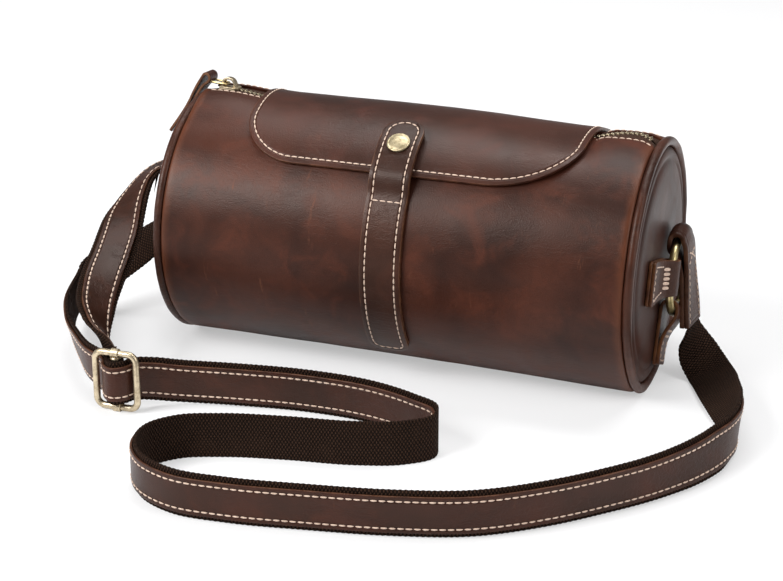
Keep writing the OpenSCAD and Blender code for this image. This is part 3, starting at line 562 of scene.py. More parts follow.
# Strap's sewn end
# The same webbing goes once round the adjuster's middle bar and is stitched down on itself.
loop_r = bar_d / 2 + 0.1 * mm + webbing_t
turn = np.array([adjuster_at + loop_r * np.array([cos(a), sin(a), 0])
                 for a in np.linspace(radians(112), radians(448), 25)])
share = np.linspace(-1, 1, 9)
loop_points = turn[:, None] + share[None, :, None] * np.array([0, 0, -webbing_w / 2])
loop_far = along(turn)
bar_loop = lay_sheet("strap_sewn_end", loop_points, np.stack(np.broadcast_arrays(
    loop_far[:, None], share[None] * webbing_w / 2), -1), np.full(loop_points.shape[:2], 5 * mm))
thicken(bar_loop, webbing_t, 0.3 * mm)
smooth_by_angle(bar_loop, 60)
finish(bar_loop, "bag", "webbing", [webbing_cloth, webbing_cloth], "strap_bar_loop")

# Rings
# Two welded rings of 4.2 mm wire stand flat against the round ends and turn freely in their chapes.
# They are brass plated like the adjuster. The weld is a low swelling on the wire.
ring_x, ring_y, ring_z = 134.6 * mm, 13 * mm, 53.5 * mm
ring_r, ring_wire = 19.8 * mm, 4.2 * mm
for side, word in ((-1, "left"), (1, "right")):
    bpy.ops.object.select_all(action="DESELECT")
    bpy.ops.mesh.primitive_torus_add(major_radius=ring_r, minor_radius=ring_wire / 2, major_segments=96,
                                     minor_segments=20)
    ring = bpy.context.active_object
    ring.name = word + "_welded_ring"
    centre = Vector((side * ring_x, ring_y, ring_z))
    reshape(ring, turn_upright, lambda: bpy.ops.transform.translate(value=centre))
    for v in ring.data.vertices:
        spoke = v.co - centre
        spoke.x = 0
        middle = centre + spoke.normalized() * ring_r
        weld = max(0, 1 - abs(degrees(atan2(spoke.y, spoke.z)) - 40) / 6)
        v.co = middle + (v.co - middle) * (1 + 0.07 * weld)
    ring.data.shade_smooth()
    finish(ring, word + "_ring", "brass", [ring_brass], word + "_ring")

# Barrel
# One sheet of pull-up leather, 1.8 mm thick, wrapped round the barrel. Its two long edges are turned
# to the zip along the top, and its round edges are sewn to the piping and the end panels.
barrel_r, base_sag, leather_t = 65 * mm, 1 * mm, 1.8 * mm
axis_z = barrel_r - base_sag
wrap_end = 123 * mm
zip_angle, slot_half = 97, 7.5 * mm
flare_from, flare_l = 110 * mm, 13 * mm
front_flare, back_flare, chain_flare = 6 * mm, 1.5 * mm, 6 * mm


def smooth(t):
    t = np.clip(t, 0, 1)
    return t * t * (3 - 2 * t)


def polar(x, angle, r):
    """Points from places along the barrel, angles round it from the front over the top, and radii"""
    x, angle, r = np.broadcast_arrays(x, np.radians(angle), r)
    return np.stack([x, -r * np.cos(angle), axis_z + r * np.sin(angle)], -1)


def spokes(line):
    """The ways out from the barrel's middle at points on it"""
    return line * (0, 1, 1) - (0, 0, axis_z)


def wrapped(angle):
    """The same angle round the barrel, below zero where it is under the front"""
    return np.where(angle > 270, angle - 360, angle)


def zip_turn(x, reach):
    """How many degrees the end of the zip turns down to the front, near the right rim"""
    u = np.clip((x - flare_from) / flare_l, 0, 1)
    return np.degrees(reach * (1 - np.sqrt(1 - u * u)) / barrel_r)


def swell(x, angle):
    """How far the leather stands up beside the zip's ends, where the flap does not hold it down"""
    angle = wrapped(angle)
    ends = np.interp(x / mm, [-123, -112, -104, -92, -84, 92, 98, 108, 117, 122],
                     [3.6, 4.0, 3.8, 2.6, 0.3, -1.2, 0.6, 1, 0.7, -0.6]) * mm
    return ends * smooth((angle - 62) / 27) * (1 - smooth((angle - 104) / 22))


def pressed(x, angle):
    """How far the flap presses the leather down over the zip"""
    angle = wrapped(angle)
    down = np.maximum(0, 65.1 * mm - flap_crest(x)) * (1 - smooth((x - 90 * mm) / (5 * mm)))
    return down * smooth((angle - 62) / 26) * (1 - smooth((angle - 112) / 16))


def flap_crest(x):
    """Radius of the flap's inner side where it crosses the zip"""
    return np.interp(x / mm, [-94, -78, -50, -21, 10, 34, 58, 78, 93],
                     [66.4, 65.7, 65.7, 66.1, 66, 65.5, 64.5, 63.9, 63.7]) * mm


def chain_lift(x):
    """How far the zip's teeth stand above their usual height"""
    return np.interp(x / mm, [-118, -105, -94, -86, 45, 70, 84, 89, 97, 105, 113, 118, 122],
                     [3.4, 3.1, 1.2, 0, 0, -0.9, -1.6, -2, 0.4, 1.9, 2.2, 0.8, -1.8]) * mm


def slump(x, angle):
    """How far the soft barrel sags out, low on its front near the right end"""
    ends = np.interp(x / mm, [-50, 30, 80, 123], [0, 0.8, 2, 2.8]) * mm
    return ends * (0.5 + 0.5 * np.cos(pi * np.clip((wrapped(angle) + 68) / 32, -1, 1)))


def lumps(points, size, seed=0):
    """Soft noise of about that size at each point"""
    shape = points.shape[:-1]
    return np.array([noise.noise(Vector(p) / size + Vector((seed, seed, seed)))
                     for p in points.reshape(-1, 3)]).reshape(shape)


body_leather = leather("waxed body leather", "#250e07", "#411f13", "#5a2b1a", "#8a553b", 0.42, creases=0.25,
                       scuffs=0.4, ends=(wrap_end, 6 * mm, "#693b25"))
rim_rows = np.array([121.5, 122.3, 122.8, 123])
x = np.concatenate([-rim_rows[::-1], np.linspace(-120, 120, 81), rim_rows]) * -mm
share = np.concatenate([[0, 0.0015, 0.004, 0.008], np.linspace(0.0145, 0.9855, 136),
                        [0.992, 0.996, 0.9985, 1]])
first = zip_angle + degrees(slot_half / barrel_r)
last = zip_angle + 360 - degrees(slot_half / barrel_r)
angle = first + (last - first) * share[:, None] + 0 * x[None]
for reach, from_slot in ((back_flare, share[:, None]), (front_flare, 1 - share[:, None])):
    angle -= zip_turn(x, reach)[None] * np.clip(1 - from_slot / 0.12, 0, 1) ** 2
skin = polar(x[None], angle, barrel_r)
rolled = np.clip((np.abs(x) - 120.8 * mm) / (2.2 * mm), 0, 1)
depth = 0.22 * mm * (lumps(skin, 42 * mm) + 0.5 * lumps(skin, 19 * mm, 7)) - 0.18 * mm
depth = depth * (1 - rolled)[None] - 1.5 * mm * (1 - np.sqrt(1 - rolled * rolled))[None]
turned_in = np.minimum(share, 1 - share)[:, None] * (last - first) * pi / 180 * barrel_r
depth -= 0.5 * mm * (1 - smooth(turned_in / (1.2 * mm)))
depth = np.maximum(depth + swell(x[None], angle) - pressed(x[None], angle), -1.72 * mm)
depth += slump(x[None], angle)
skin = polar(x[None], angle, barrel_r + depth)
skin[..., 2] = np.maximum(skin[..., 2], 0.0)
edge = np.minimum(turned_in, (wrap_end - np.abs(x))[None] + 5 * mm)
flat = np.stack(np.broadcast_arrays(x[None], share[:, None] * 2 * pi * barrel_r), -1)
barrel = lay_sheet("barrel_wrap", skin, flat, edge)
thicken(barrel, leather_t)
smooth_by_angle(barrel, 50)
finish(barrel, "bag", "body_leather", [body_leather, tan_edge], "body_wrap")
slot_seam_in = 3 * mm
rows = []
for share_at, flare, sign in ((last, front_flare, -1), (first, back_flare, 1)):
    far_x = np.linspace(-119, 121.3, 120) * mm
    theta = share_at + sign * degrees(slot_seam_in / barrel_r) - zip_turn(far_x, flare)
    line = polar(far_x, theta, barrel_r - 0.1 * mm + swell(far_x, theta) - pressed(far_x, theta))
    rows.append((line, spokes(line)))
sew("zip_stitches", rows, "bag", "body_leather", 3.6 * mm, 3.2 * mm, lift=0.05 * mm)

# Zip
# A metal zip: two woven tapes under the leather, a row of cast brass teeth on each, stamped stops at
# both ends and a slider. It is shut, and its right end turns down into the rim seam.
tape_r, tape_t = 63.05 * mm, 0.6 * mm
chain_r = tape_r - tape_t / 2
tooth_pitch, tooth_w, tooth_l, tooth_t = 2.5 * mm, 1.1 * mm, 3.2 * mm, 2.5 * mm
chain_from, chain_to = -114.4 * mm, 121 * mm


def zip_tape_cloth():
    """Fine woven polyester, brown-black and dull, in rows of small V shapes"""
    made, tree, shader = new_material("woven zip tape", 0.85, Specular_IOR_Level=0.2)
    split = node(tree, "SeparateXYZ", Vector=node(tree, "UVMap", {"uv_map": "cut"}).outputs[0])
    slant = math(tree, "PINGPONG", split.outputs["Y"], 1 * mm)
    slanted = math(tree, "ADD", split.outputs["X"], slant)
    row = math(tree, "SINE", math(tree, "MULTIPLY", slanted, 2 * pi / (0.9 * mm)), 0)
    tree.links.new(mix(tree, mask(tree, row, -0.6, 0.9), linear("#2a1a12"), linear("#4a3326")),
                   shader.inputs["Base Color"])
    bump = node(tree, "Bump", Strength=0.6, Distance=0.15 * mm, Height=row)
    tree.links.new(bump.outputs[0], shader.inputs["Normal"])
    return made


tape_cloth = zip_tape_cloth()
for side, word in ((-1, "front"), (1, "back")):
    x = np.linspace(-119, 122.6, 110)[::-side] * mm
    out_by = np.array([0.9, 1.1, 1.7, 2.4, 3.2, 5, 8, 11, 14]) * mm
    cord = np.array([0, 0.9, 1.1, 0.9, 0, 0, 0, 0, 0]) * mm * 0.5
    theta = zip_angle + np.degrees(side * out_by[:, None] / chain_r) - zip_turn(x, chain_flare)[None]
    beside = smooth((out_by - 2 * mm) / (5 * mm))[:, None]
    lift = chain_lift(x)[None] * (1 - beside) + (swell(x[None], theta) - pressed(x[None], theta)) * beside
    cloth = polar(x[None], theta, tape_r + cord[:, None] + lift)
    flat = np.stack(np.broadcast_arrays(x[None], out_by[:, None]), -1)
    tape = lay_sheet("zip_tape_" + word + "_cloth", cloth, flat, np.full(cloth.shape[:2], 5 * mm))
    thicken(tape, tape_t)
    smooth_by_angle(tape, 60)
    finish(tape, "bag", "zip_tape", [tape_cloth, tape_cloth], "zip_tape_" + word)

# One tooth: a bar with a bevelled head that has a dimple, clamped round the tape's corded edge
bpy.ops.object.select_all(action="DESELECT")
bpy.ops.mesh.primitive_cube_add(size=1, location=(0, 0, 0), scale=(tooth_w, tooth_l, tooth_t))
one_tooth = bpy.context.active_object
bpy.ops.object.transform_apply(location=True, rotation=True, scale=True)
reshape(one_tooth, lambda: bpy.ops.mesh.bevel(offset=0.28 * mm, segments=1, affect="EDGES"))
tooth_points, tooth_faces = as_pattern(one_tooth)
tooth_points[:, 2] += 0.25 * mm
x = np.arange(chain_from, 123.1 * mm, 0.3 * mm)
chain = polar(x, zip_angle - zip_turn(x, chain_flare), chain_r + chain_lift(x))
chain_far = along(chain)
chain_l = float(np.interp(chain_to, x, chain_far))
for side, word in ((-1, "front"), (1, "back")):
    points, faces = [], []
    for i in range(int(chain_l / tooth_pitch)):
        far = (i + (0.25 if side > 0 else 0.75)) * tooth_pitch
        at = line_at(chain, chain_far, far)
        way = unit(line_at(chain, chain_far, far + 0.5 * mm) - at)
        across = unit(np.cross(unit(spokes(at)), way))
        up = np.cross(way, across)
        centre = at + across * side * (tooth_l / 2 - 0.7 * mm)
        faces += [[len(points) + k for k in f] for f in tooth_faces]
        points += list(centre + tooth_points @ np.array([way, across, up]))
    teeth = new_piece("zip_teeth_" + word + "_row", points, faces)
    reshape(teeth, face_outwards)
    finish(teeth, "bag", "brass", [pale_brass], "zip_teeth_" + word)


def block(name, centre, size, bevel, *nodes):
    """A stamped piece: a block at a place on the barrel, with rounded edges"""
    bpy.ops.object.select_all(action="DESELECT")
    bpy.ops.mesh.primitive_cube_add(size=1, location=(0, 0, 0), scale=size)
    piece = bpy.context.active_object
    piece.name = name
    bpy.ops.object.transform_apply(location=True, rotation=True, scale=True)
    reshape(piece, lambda: bpy.ops.mesh.bevel(offset=bevel, segments=2, affect="EDGES"))
    piece.data.transform(Matrix.Translation(centre) @ Matrix.Rotation(lean, 4, "X"))
    smooth_by_angle(piece, 40)
    return finish(piece, "bag", "brass", [brass], *nodes)


def on_zip(x, r):
    """A place on the zip's middle line"""
    theta = radians(zip_angle)
    return Vector((x, -r * cos(theta), axis_z + r * sin(theta)))


lean = radians(90 - zip_angle)
end_at = chain[np.searchsorted(chain_far, chain_l + 1 * mm)]
block("zip_end_stop", Vector(end_at) - Vector((0, 0, 1 * mm)), (2.4 * mm, 5.4 * mm, 2.2 * mm), 0.4 * mm,
      "zip_bottom_stop")
for side, word, nodes in ((-1, "front", []), (1, "back", ["zip_top_stops"])):
    place = chain[0] + np.array([-1.6 * mm, side * 2 * mm, -0.2 * mm - side * 0.25 * mm])
    block("zip_top_stop_" + word, Vector(place), (2.4 * mm, 1.7 * mm, 3 * mm), 0.35 * mm, *nodes)

# Slider
# A die-cast slider closes the zip: two plates joined by a post, with flanges that guide the tapes.
# The wire link of its pull turns under the bridge on its top.
slider_x, slider_lift = -112.3 * mm, 3.2 * mm
slider_top_r = 65.05 * mm + slider_lift
slider_l, slider_w, plate_t = 11 * mm, 8.8 * mm, 1.1 * mm


def zip_frame(x, r):
    """From a piece's own axes (along, across to the back, out) to its place over the zip"""
    return Matrix.Translation(on_zip(x, r)) @ Matrix.Rotation(lean, 4, "X")


def soften(points, spacing, rounds=3):
    """A smooth, evenly spaced line whose corners are rounded off"""
    points = np.array(points, float)
    for _ in range(rounds):
        quarter = np.stack([(points[:-1] * 3 + points[1:]) / 4, (points[:-1] + points[1:] * 3) / 4], 1)
        points = np.vstack([points[:1], quarter.reshape(-1, points.shape[1])[1:-1], points[-1:]])
    far = along(points)
    return line_at(points, far, np.linspace(0, far[-1], max(2, round(far[-1] / spacing)) + 1))


def plate(outline, low, high, bevel):
    """A flat casting from its outline, with softened edges"""
    made = new_piece("casting", [(a, b, low) for a, b in outline], [list(range(len(outline)))[::-1]])
    reshape(made,
            lambda: bpy.ops.mesh.extrude_region_move(TRANSFORM_OT_translate={"value": (0, 0, high - low)}),
            face_outwards, lambda: bpy.ops.mesh.bevel(offset=bevel, segments=2, affect="EDGES"))
    return made


def bent_bar(rows, width, thickness, bevel):
    """A flat bar of metal bent along rows of (along, out)"""
    rows = soften(rows, 0.35 * mm, 2)
    share = np.linspace(-1, 1, 5)
    sheet = np.stack(np.broadcast_arrays(rows[:, :1], share[None] * width / 2, rows[:, 1:]), -1)
    made = lay_sheet("bar", sheet, sheet[..., :2], np.zeros(sheet.shape[:2]))
    thicken(made, thickness, bevel)
    return made


half_l, wide = slider_l / 2, slider_w / 2
low_plate_top, rail_in = -6 * mm, 0.1 * mm
outline = [(-half_l, 0.62 * wide), (-half_l, -0.62 * wide), (-0.1 * half_l, -0.78 * wide),
           (0.45 * half_l, -wide), (0.8 * half_l, -wide), (half_l, -0.5 * wide), (half_l, 0.5 * wide),
           (0.8 * half_l, wide), (0.45 * half_l, wide), (-0.1 * half_l, 0.78 * wide)]
parts = [plate(outline, -plate_t, 0, 0.28 * mm), plate(outline, -7 * mm, low_plate_top, 0.28 * mm)]
for s in (-1, 1):
    rail = [(-half_l, s * 0.48 * wide), (-0.1 * half_l, s * 0.64 * wide), (0.45 * half_l, s * 0.86 * wide),
            (0.8 * half_l, s * 0.86 * wide), (0.8 * half_l, s * wide), (0.45 * half_l, s * wide),
            (-0.1 * half_l, s * 0.78 * wide), (-half_l, s * 0.62 * wide)]
    parts.append(plate(rail, -plate_t - 1 * mm, -plate_t + rail_in, 0.1 * mm))
    parts.append(plate(rail, low_plate_top - rail_in, -4.6 * mm, 0.1 * mm))
post = [(half_l - 1.4 * mm, -0.6 * mm), (half_l - 0.2 * mm, -0.6 * mm), (half_l - 0.2 * mm, 0.6 * mm),
        (half_l - 1.4 * mm, 0.6 * mm)]
parts.append(plate(post, low_plate_top - rail_in, -plate_t + rail_in, 0.1 * mm))
bridge = [(-4.4 * mm, -0.3 * mm), (-4.5 * mm, 1.9 * mm), (-3.6 * mm, 4.3 * mm), (-1 * mm, 5.2 * mm),
          (1.8 * mm, 4.6 * mm), (3.4 * mm, 2.6 * mm), (3.9 * mm, -0.3 * mm)]
parts.append(bent_bar(bridge, 3.8 * mm, 1.3 * mm, 0.3 * mm))
pick(*parts)
bpy.ops.object.join()
slider = bpy.context.active_object
slider.name = "zip_slider_casting"
slider.data.transform(zip_frame(slider_x, slider_top_r))
smooth_by_angle(slider, 40)
finish(slider, "slider", "brass", [pale_brass], "zip_slider")

# Round ends
# Each end is a leather disc, pressed over a board so that a raised band runs round its flat face, and
# sewn into the rim with a piped welt: a cord wrapped in a strip of thin leather.
piping_r = 2.4 * mm
face_h = 5.6 * mm
end_leather = leather("waxed end leather", "#2c1812", "#452c24", "#4c2b21", "#714b3b", 0.42, creases=0.2,
                      scuffs=0.25, shine=0.1)
piping_leather = leather("piping leather", "#2b140c", "#47271b", "#5e3220", "#8d583b", 0.36, creases=0.9,
                         grain=1.3)
end_profile = [(-3, 60.9), (0.5, 60.6), (1.8, 60.2), (2.7, 59.6), (3.5, 58.6), (4.1, 57.3), (4.35, 56.0),
               (4.25, 54.9), (3.85, 54.2), (3.75, 53.6), (4.1, 52.7), (4.6, 51.6), (5.0, 50.0), (5.25, 47.5),
               (5.35, 43), (5.4, 36), (5.45, 27), (5.5, 17), (5.5, 8), (5.5, 0)]


def sag_end(piece, side):
    """Lets a round end sag with the barrel, down to the table"""
    for v in piece.data.vertices:
        spoke = hypot(v.co.y, v.co.z - axis_z)
        sag = float(slump(np.array(side * wrap_end), degrees(atan2(v.co.z - axis_z, -v.co.y))))
        grown = 1 + sag * smooth((spoke - 35 * mm) / (30 * mm)) / max(spoke, mm)
        v.co.y, v.co.z = v.co.y * grown, max(axis_z + (v.co.z - axis_z) * grown, 0)


for side, word in ((-1, "left"), (1, "right")):
    bpy.ops.object.select_all(action="DESELECT")
    bpy.ops.mesh.primitive_torus_add(major_radius=barrel_r - piping_r, minor_radius=piping_r,
                                     major_segments=180, minor_segments=18)
    welt = bpy.context.active_object
    welt.name = word + "_piped_welt"
    welt.data.transform(Matrix.Translation((side * (wrap_end + piping_r + 0.1 * mm), 0, axis_z))
                        @ Matrix.Rotation(pi / 2, 4, "Y"))
    for v in welt.data.vertices:
        v.co += v.normal * 0.16 * mm * noise.noise(Vector(v.co) / (9 * mm))
    sag_end(welt, side)
    welt.data.shade_smooth()
    finish(welt, "bag", "body_leather", [piping_leather], word + "_piping")
    disc = lathe(word + "_end_disc", [(side * (wrap_end + a * mm), r * mm) for a, r in end_profile],
                 (0, 0, axis_z), (1, 0, 0), 144)
    for v in disc.data.vertices:
        spoke = hypot(v.co.y, v.co.z - axis_z)
        if spoke < 50 * mm:
            dent = noise.noise(Vector(v.co) / (34 * mm)) - 0.3
            v.co.x += side * 0.35 * mm * dent * smooth(1 - spoke / (50 * mm))
    sag_end(disc, side)
    if sum(f.normal.x * f.area for f in disc.data.polygons) * side < 0:
        disc.data.flip_normals()
    disc.data.shade_smooth()
    finish(disc, "bag", "body_leather", [end_leather], word + "_end_panel")

# Lining and boards
# Inside is a plain cotton lining, over a sheet of fibre board that stiffens the barrel and each end.
def plain_cloth(name, thread, gap):
    """Plain cotton: a square grid of fine threads, soft and dull"""
    made, tree, shader = new_material(name, 0.9, Specular_IOR_Level=0.2)
    split = node(tree, "SeparateXYZ", Vector=node(tree, "TexCoord").outputs["Object"])
    turns = 2 * pi / (0.8 * mm)
    both = [math(tree, "SINE", math(tree, "MULTIPLY", split.outputs[k], turns), 0) for k in "XZ"]
    colour = mix(tree, mask(tree, math(tree, "ADD", *both), -1.6, 1.2), linear(gap), linear(thread))
    tree.links.new(colour, shader.inputs["Base Color"])
    return made


def fibre_board():
    """Pressed grey-brown fibre board, speckled and matt"""
    made, tree, shader = new_material("pressed fibre board", 0.95)
    specks = noise_at(tree, node(tree, "TexCoord").outputs["Object"], 1.5 * mm, 4, 0.8)
    tree.links.new(mix(tree, specks, linear("#5c4a36"), linear("#8d775a")), shader.inputs["Base Color"])
    return made


def dress(material, *words):
    """Gives a material to CAD nodes that keep their own shape"""
    for word in words:
        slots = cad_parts[word].data.materials
        slots.clear()
        slots.append(material)


dress(plain_cloth("plain cotton lining", "#8b765c", "#5d4c39"), "lining_wrap", "left_end_lining",
      "right_end_lining")
dress(fibre_board(), "body_stiffener", "left_end_board", "right_end_board")

# Chapes and strap end
# Leather loops that hold the rings: each is one strip folded round the ring's wire and sewn to the end.
# The strap end is a thicker strip, folded over the right ring's top, with the webbing sewn inside it.
chape_t, ring_gap = 1.8 * mm, 0.4 * mm
pf = ring_x - (wrap_end + face_h) - 0.05 * mm
wire_r = ring_wire / 2
chape_leather = leather("waxed chape leather", "#2e1810", "#48271b", "#592f1b", "#8d5937", 0.42,
                        edge_colour="#8a5a36", creases=0.7)


def folded_strip(name, path, sides, thickness, columns, across, rounding=0.4 * mm, shift=None):
    """A strip of leather folded along a path. sides gives its width to each side of each point of the
    path, across is the direction of its width, and shift moves each of its points."""
    path = np.array(path)
    far = along(path)
    tangent = unit(np.gradient(path, axis=0))
    out = unit(np.cross(tangent, across))
    share = np.linspace(-1, 1, columns + 1)
    aside = np.where(share < 0, share * sides[0][:, None], share * sides[1][:, None])
    points = path[:, None] + out[:, None] * thickness / 2 + across * aside[..., None]
    if shift is not None:
        points = points + shift(aside)
    flat = np.stack([far[:, None] + 0 * aside, aside], -1)
    whole = np.where(share < 0, sides[0][:, None], sides[1][:, None])
    edge = np.minimum(whole - np.abs(aside), np.minimum(far, far[-1] - far)[:, None])
    strip = lay_sheet(name, points, flat, edge)
    thicken(strip, thickness, rounding)
    smooth_by_angle(strip, 50)
    return strip, path, out, far


def loop_hole(aside):
    return sqrt((ring_r - wire_r) ** 2 - aside ** 2) - ring_gap


def rounded(width, from_end, corner):
    """The width of a strip towards its end, where its corner is round"""
    inside = np.clip(corner - from_end, 0, 0.995 * corner)
    return width - corner + np.sqrt(corner ** 2 - inside ** 2)


def chape(word, side, angle, widths, reach, corners, slant, straight):
    """A chape at an angle round the ring, up from the front, on the left (-1) or the right (1). widths are
    those of its lower and its upper side, as rows of (distance from the ring's middle, width)."""
    hole_in, hole_out = loop_hole(9 * mm), ring_r + wire_r + ring_gap
    low, high = chape_t - pf, wire_r + ring_gap
    middle, hole_r = (low + high) / 2, (high - low) / 2
    half_t = chape_t / 2
    arc = [(middle + (hole_r + half_t) * cos(a), hole_in + hole_r - (hole_r + half_t) * sin(a))
           for a in np.linspace(0, pi, 13)]
    section = [(chape_t * 1.5 - pf, reach - 0.5 * mm), (chape_t * 1.5 - pf, hole_out + straight),
               (high + half_t, hole_out)] + arc + [(half_t - pf, hole_out), (half_t - pf, reach)]
    section = soften(section, 0.7 * mm, 2)
    turn = radians(angle)
    ahead = np.array([0, -cos(turn), sin(turn)])
    across = np.array([0, sin(turn), cos(turn)])
    centre = np.array([side * ring_x, ring_y, ring_z])
    path = [centre + np.array([side * a, 0, 0]) + ahead * d for a, d in section]
    d = section[:, 1]
    sides = [rounded(np.interp(d, *np.array(rows).T * mm), reach - d, corner)
             for rows, corner in zip(widths, corners)]
    if side < 0:
        path, sides, d = path[::-1], [s[::-1] for s in sides], d[::-1]

    def shift(aside):
        return ahead * (-slant * aside * smooth((d - 22 * mm) / (reach - 22 * mm))[:, None])[..., None]
    strip, path, out, _ = folded_strip(word + "_chape_leather", path, sides, chape_t, 12, across, shift=shift)
    finish(strip, "bag", "chape_leather", [chape_leather, tan_edge], word + "_chape")

    def on_face(at, aside):
        """A place on the strip's outer face, and the way out of it there"""
        outer = np.arange(len(d)) < len(d) / 2 if side > 0 else np.arange(len(d)) >= len(d) / 2
        row = np.argsort(d[outer])
        place, up = [line_at(rows[outer][row], d[outer][row], at) for rows in (path, out)]
        up = unit(up)
        slid = -slant * aside * smooth((at - 22 * mm) / (reach - 22 * mm))
        return place + up * chape_t / 2 + across * aside + ahead * slid, up
    return on_face


def sew_over(name, faces, lines, *settings, **more):
    """Stitches along lines of (distance, aside) in millimetres on a chape's outer face"""
    rows = []
    for line in lines:
        line = np.array(line) * mm
        far = along(line)
        where = np.linspace(0, far[-1], max(2, round(far[-1] / mm)))
        places = [faces(a, b) for a, b in zip(*[np.interp(where, far, line[:, k]) for k in (0, 1)])]
        rows.append((np.array([p for p, _ in places]), np.array([u for _, u in places])))
    sew(name, rows, "bag", "chape_leather", *settings, **more)


front_widths = [[(0, 9), (22, 9), (34, 11.2), (50, 13.4), (64, 13.4)], [(0, 9), (60, 10.2)]]
lower_widths = [[(0, 7.6), (60, 7.6)], [(0, 7.6), (60, 7.6)]]
for side, word, reach in ((-1, "left", 64), (1, "right", 49.5)):
    # The front chape is cut askew, wider at its lower corner, and sewn down round that corner. Five
    # long threads beside the ring close its loop.
    face = chape(word + "_front", side, 16, front_widths, reach * mm, (3.4 * mm, 3.4 * mm), 0.06, 5 * mm)
    seam = [(30, 6.2), (reach - 4.4, 7), (reach - 2.6, 5), (reach - 2.6, -8.4), (reach - 4, -10.4),
            (42, -9.4), (30, -6.6)]
    sew_over(word + "_front_chape_stitches", face, [seam], 3.1 * mm, 2.7 * mm, thick=0.9)
    sew_over(word + "_front_chape_tack", face, [[(23, c), (32.5, c)] for c in (-4.8, -2.4, 0, 2.4, 4.8)],
             9.5 * mm, 9.3 * mm, thick=1.9)
    face = chape(word + "_lower", side, -66, lower_widths, 48 * mm, (3.2 * mm, 3.2 * mm), 0, 11 * mm)
    seam = [(34.5, -5.2), (43.5, -5.2), (45.4, -3.4), (45.4, 3.4), (43.5, 5.2), (34.5, 5.2)]
    sew_over(word + "_lower_chape_stitches", face, [seam], 3.1 * mm, 2.6 * mm, thick=0.9)
    sew_over(word + "_lower_chape_tack", face, [[(d, -6.2), (d, 6.2)] for d in (29.4, 32.4)],
             13 * mm, 12 * mm, thick=1.6)

strap_end_w, strap_end_t = 19 * mm, 2.45 * mm
strap_end_y = 14.02 * mm
fold = wire_r + ring_gap + 1.1 * mm
high, low = ring_r + 2.8 * mm, ring_r - 0.8 * mm
section = ([(8.9 * mm, -26.5 * mm), (8.2 * mm, -18 * mm), (6.9 * mm, -4 * mm), (5.8 * mm, 8 * mm),
            (5.2 * mm, high - 4 * mm)]
           + [(fold * cos(a), high + fold * sin(a)) for a in np.linspace(0, pi, 9)]
           + [(fold * cos(a), low + fold * sin(a)) for a in np.linspace(pi, 1.5 * pi, 6)]
           + [(3.6 * mm, 4 * mm), (4.5 * mm, -6 * mm), (5.75 * mm, -18 * mm), (6.4 * mm, -26.5 * mm)])
section = soften(section, 0.8 * mm, 2)
path = [(ring_x + a, strap_end_y, ring_z + b) for a, b in section]


def arched(aside):
    """The strip's edges follow the ring down where it goes over the ring's top, and its leg is twisted"""
    height = section[:, 1:]
    drop = 0.9 * (ring_r - np.sqrt(ring_r ** 2 - (aside - (strap_end_y - ring_y)) ** 2))
    twist = 0.12 * aside * smooth((8 * mm - height) / (30 * mm))
    return np.stack([-twist, 0 * twist, -drop * smooth((height - 2 * mm) / (14 * mm))], -1)


half = np.full(len(path), strap_end_w / 2)
strap_end, path, out, far = folded_strip("strap_end_leather", path, (half, half), strap_end_t, 12,
                                         np.array([0, -1, 0]), shift=arched)
finish(strap_end, "bag", "strap_leather", [strap_leather, tan_edge], "strap_end")


def end_line(low, high, first, last):
    """A line of stitches on the leg's outer face, from one height and place across it to another"""
    run = (section[:, 1] > low) & (section[:, 1] < high) & (far < far[-1] / 2)
    aside = np.interp(section[:, 1], [low, high], [first, last])[:, None]
    line = path[:, None] + out[:, None] * strap_end_t / 2 + aside[..., None] * np.array([0, -1, 0])
    return (line + arched(aside))[run, 0], out[run]


side_in = strap_end_w / 2 - 2.4 * mm
sew("strap_end_stitches", [end_line(-25 * mm, 7.5 * mm, s * side_in, s * side_in) for s in (-1, 1)],
    "bag", "strap_leather", 3.4 * mm, 2.9 * mm, thick=0.9)
sew("strap_end_cross_stitch", [end_line(8.5 * mm, 15.5 * mm, -s * side_in, s * side_in) for s in (-1, 1)],
    "bag", "strap_leather", 3.2 * mm, 2.8 * mm)

# Flap
# A flap of the same leather, lined, sewn to the back of the barrel and rounded at its front corners.
# It lies on the leather and rises over the zip.
flap_x, flap_w = 1.5 * mm, 180 * mm
flap_front, flap_back = 46.5, 133.8
flap_t, flap_lining_t = 1.6 * mm, 0.6 * mm
flap_corner, flap_long_corner = 32 * mm, 47 * mm
rest_r, hinge_r = 65.3 * mm, 68 * mm
flap_leather = leather("waxed flap leather", "#2a150e", "#402218", "#4d271e", "#81513d", 0.38, creases=0.3,
                       scuffs=0.35, edge_colour="#7a5138", stitch_line=3 * mm)
suede = leather("suede flap lining", "#5a4232", "#6b5040", "#745845", "#8a6c54", 0.95, grain=1.6, creases=0.1)


def flap_r(x, angle):
    """Radius of the flap's inner side at places along and round the barrel"""
    over = smooth((angle - 62) / 26) * (1 - smooth((angle - 112) / 16))
    return rest_r + (flap_crest(x) - rest_r) * over


def corner_half(from_front, half, corner):
    """Half the width of a strip that far from its rounded end"""
    inside = np.clip(corner - from_front, 0, corner)
    return half - corner + np.sqrt(corner ** 2 - inside ** 2)


def flap_half(from_front, right, inset):
    """Half the flap's width that far from its front edge. Its right corner is longer than its left one."""
    long = np.where(right, flap_long_corner, flap_corner) - inset
    inside = np.clip(1 - from_front / (flap_corner - inset), 0, 1)
    return flap_w / 2 - inset - np.where(right, 0.9 * mm, 0) - long * (1 - np.sqrt(1 - inside ** 2))


def flap_spread(angles):
    """How much the flap's left side widens towards the back"""
    return np.clip(angles - 74, 0, 40) * 0.06 * mm


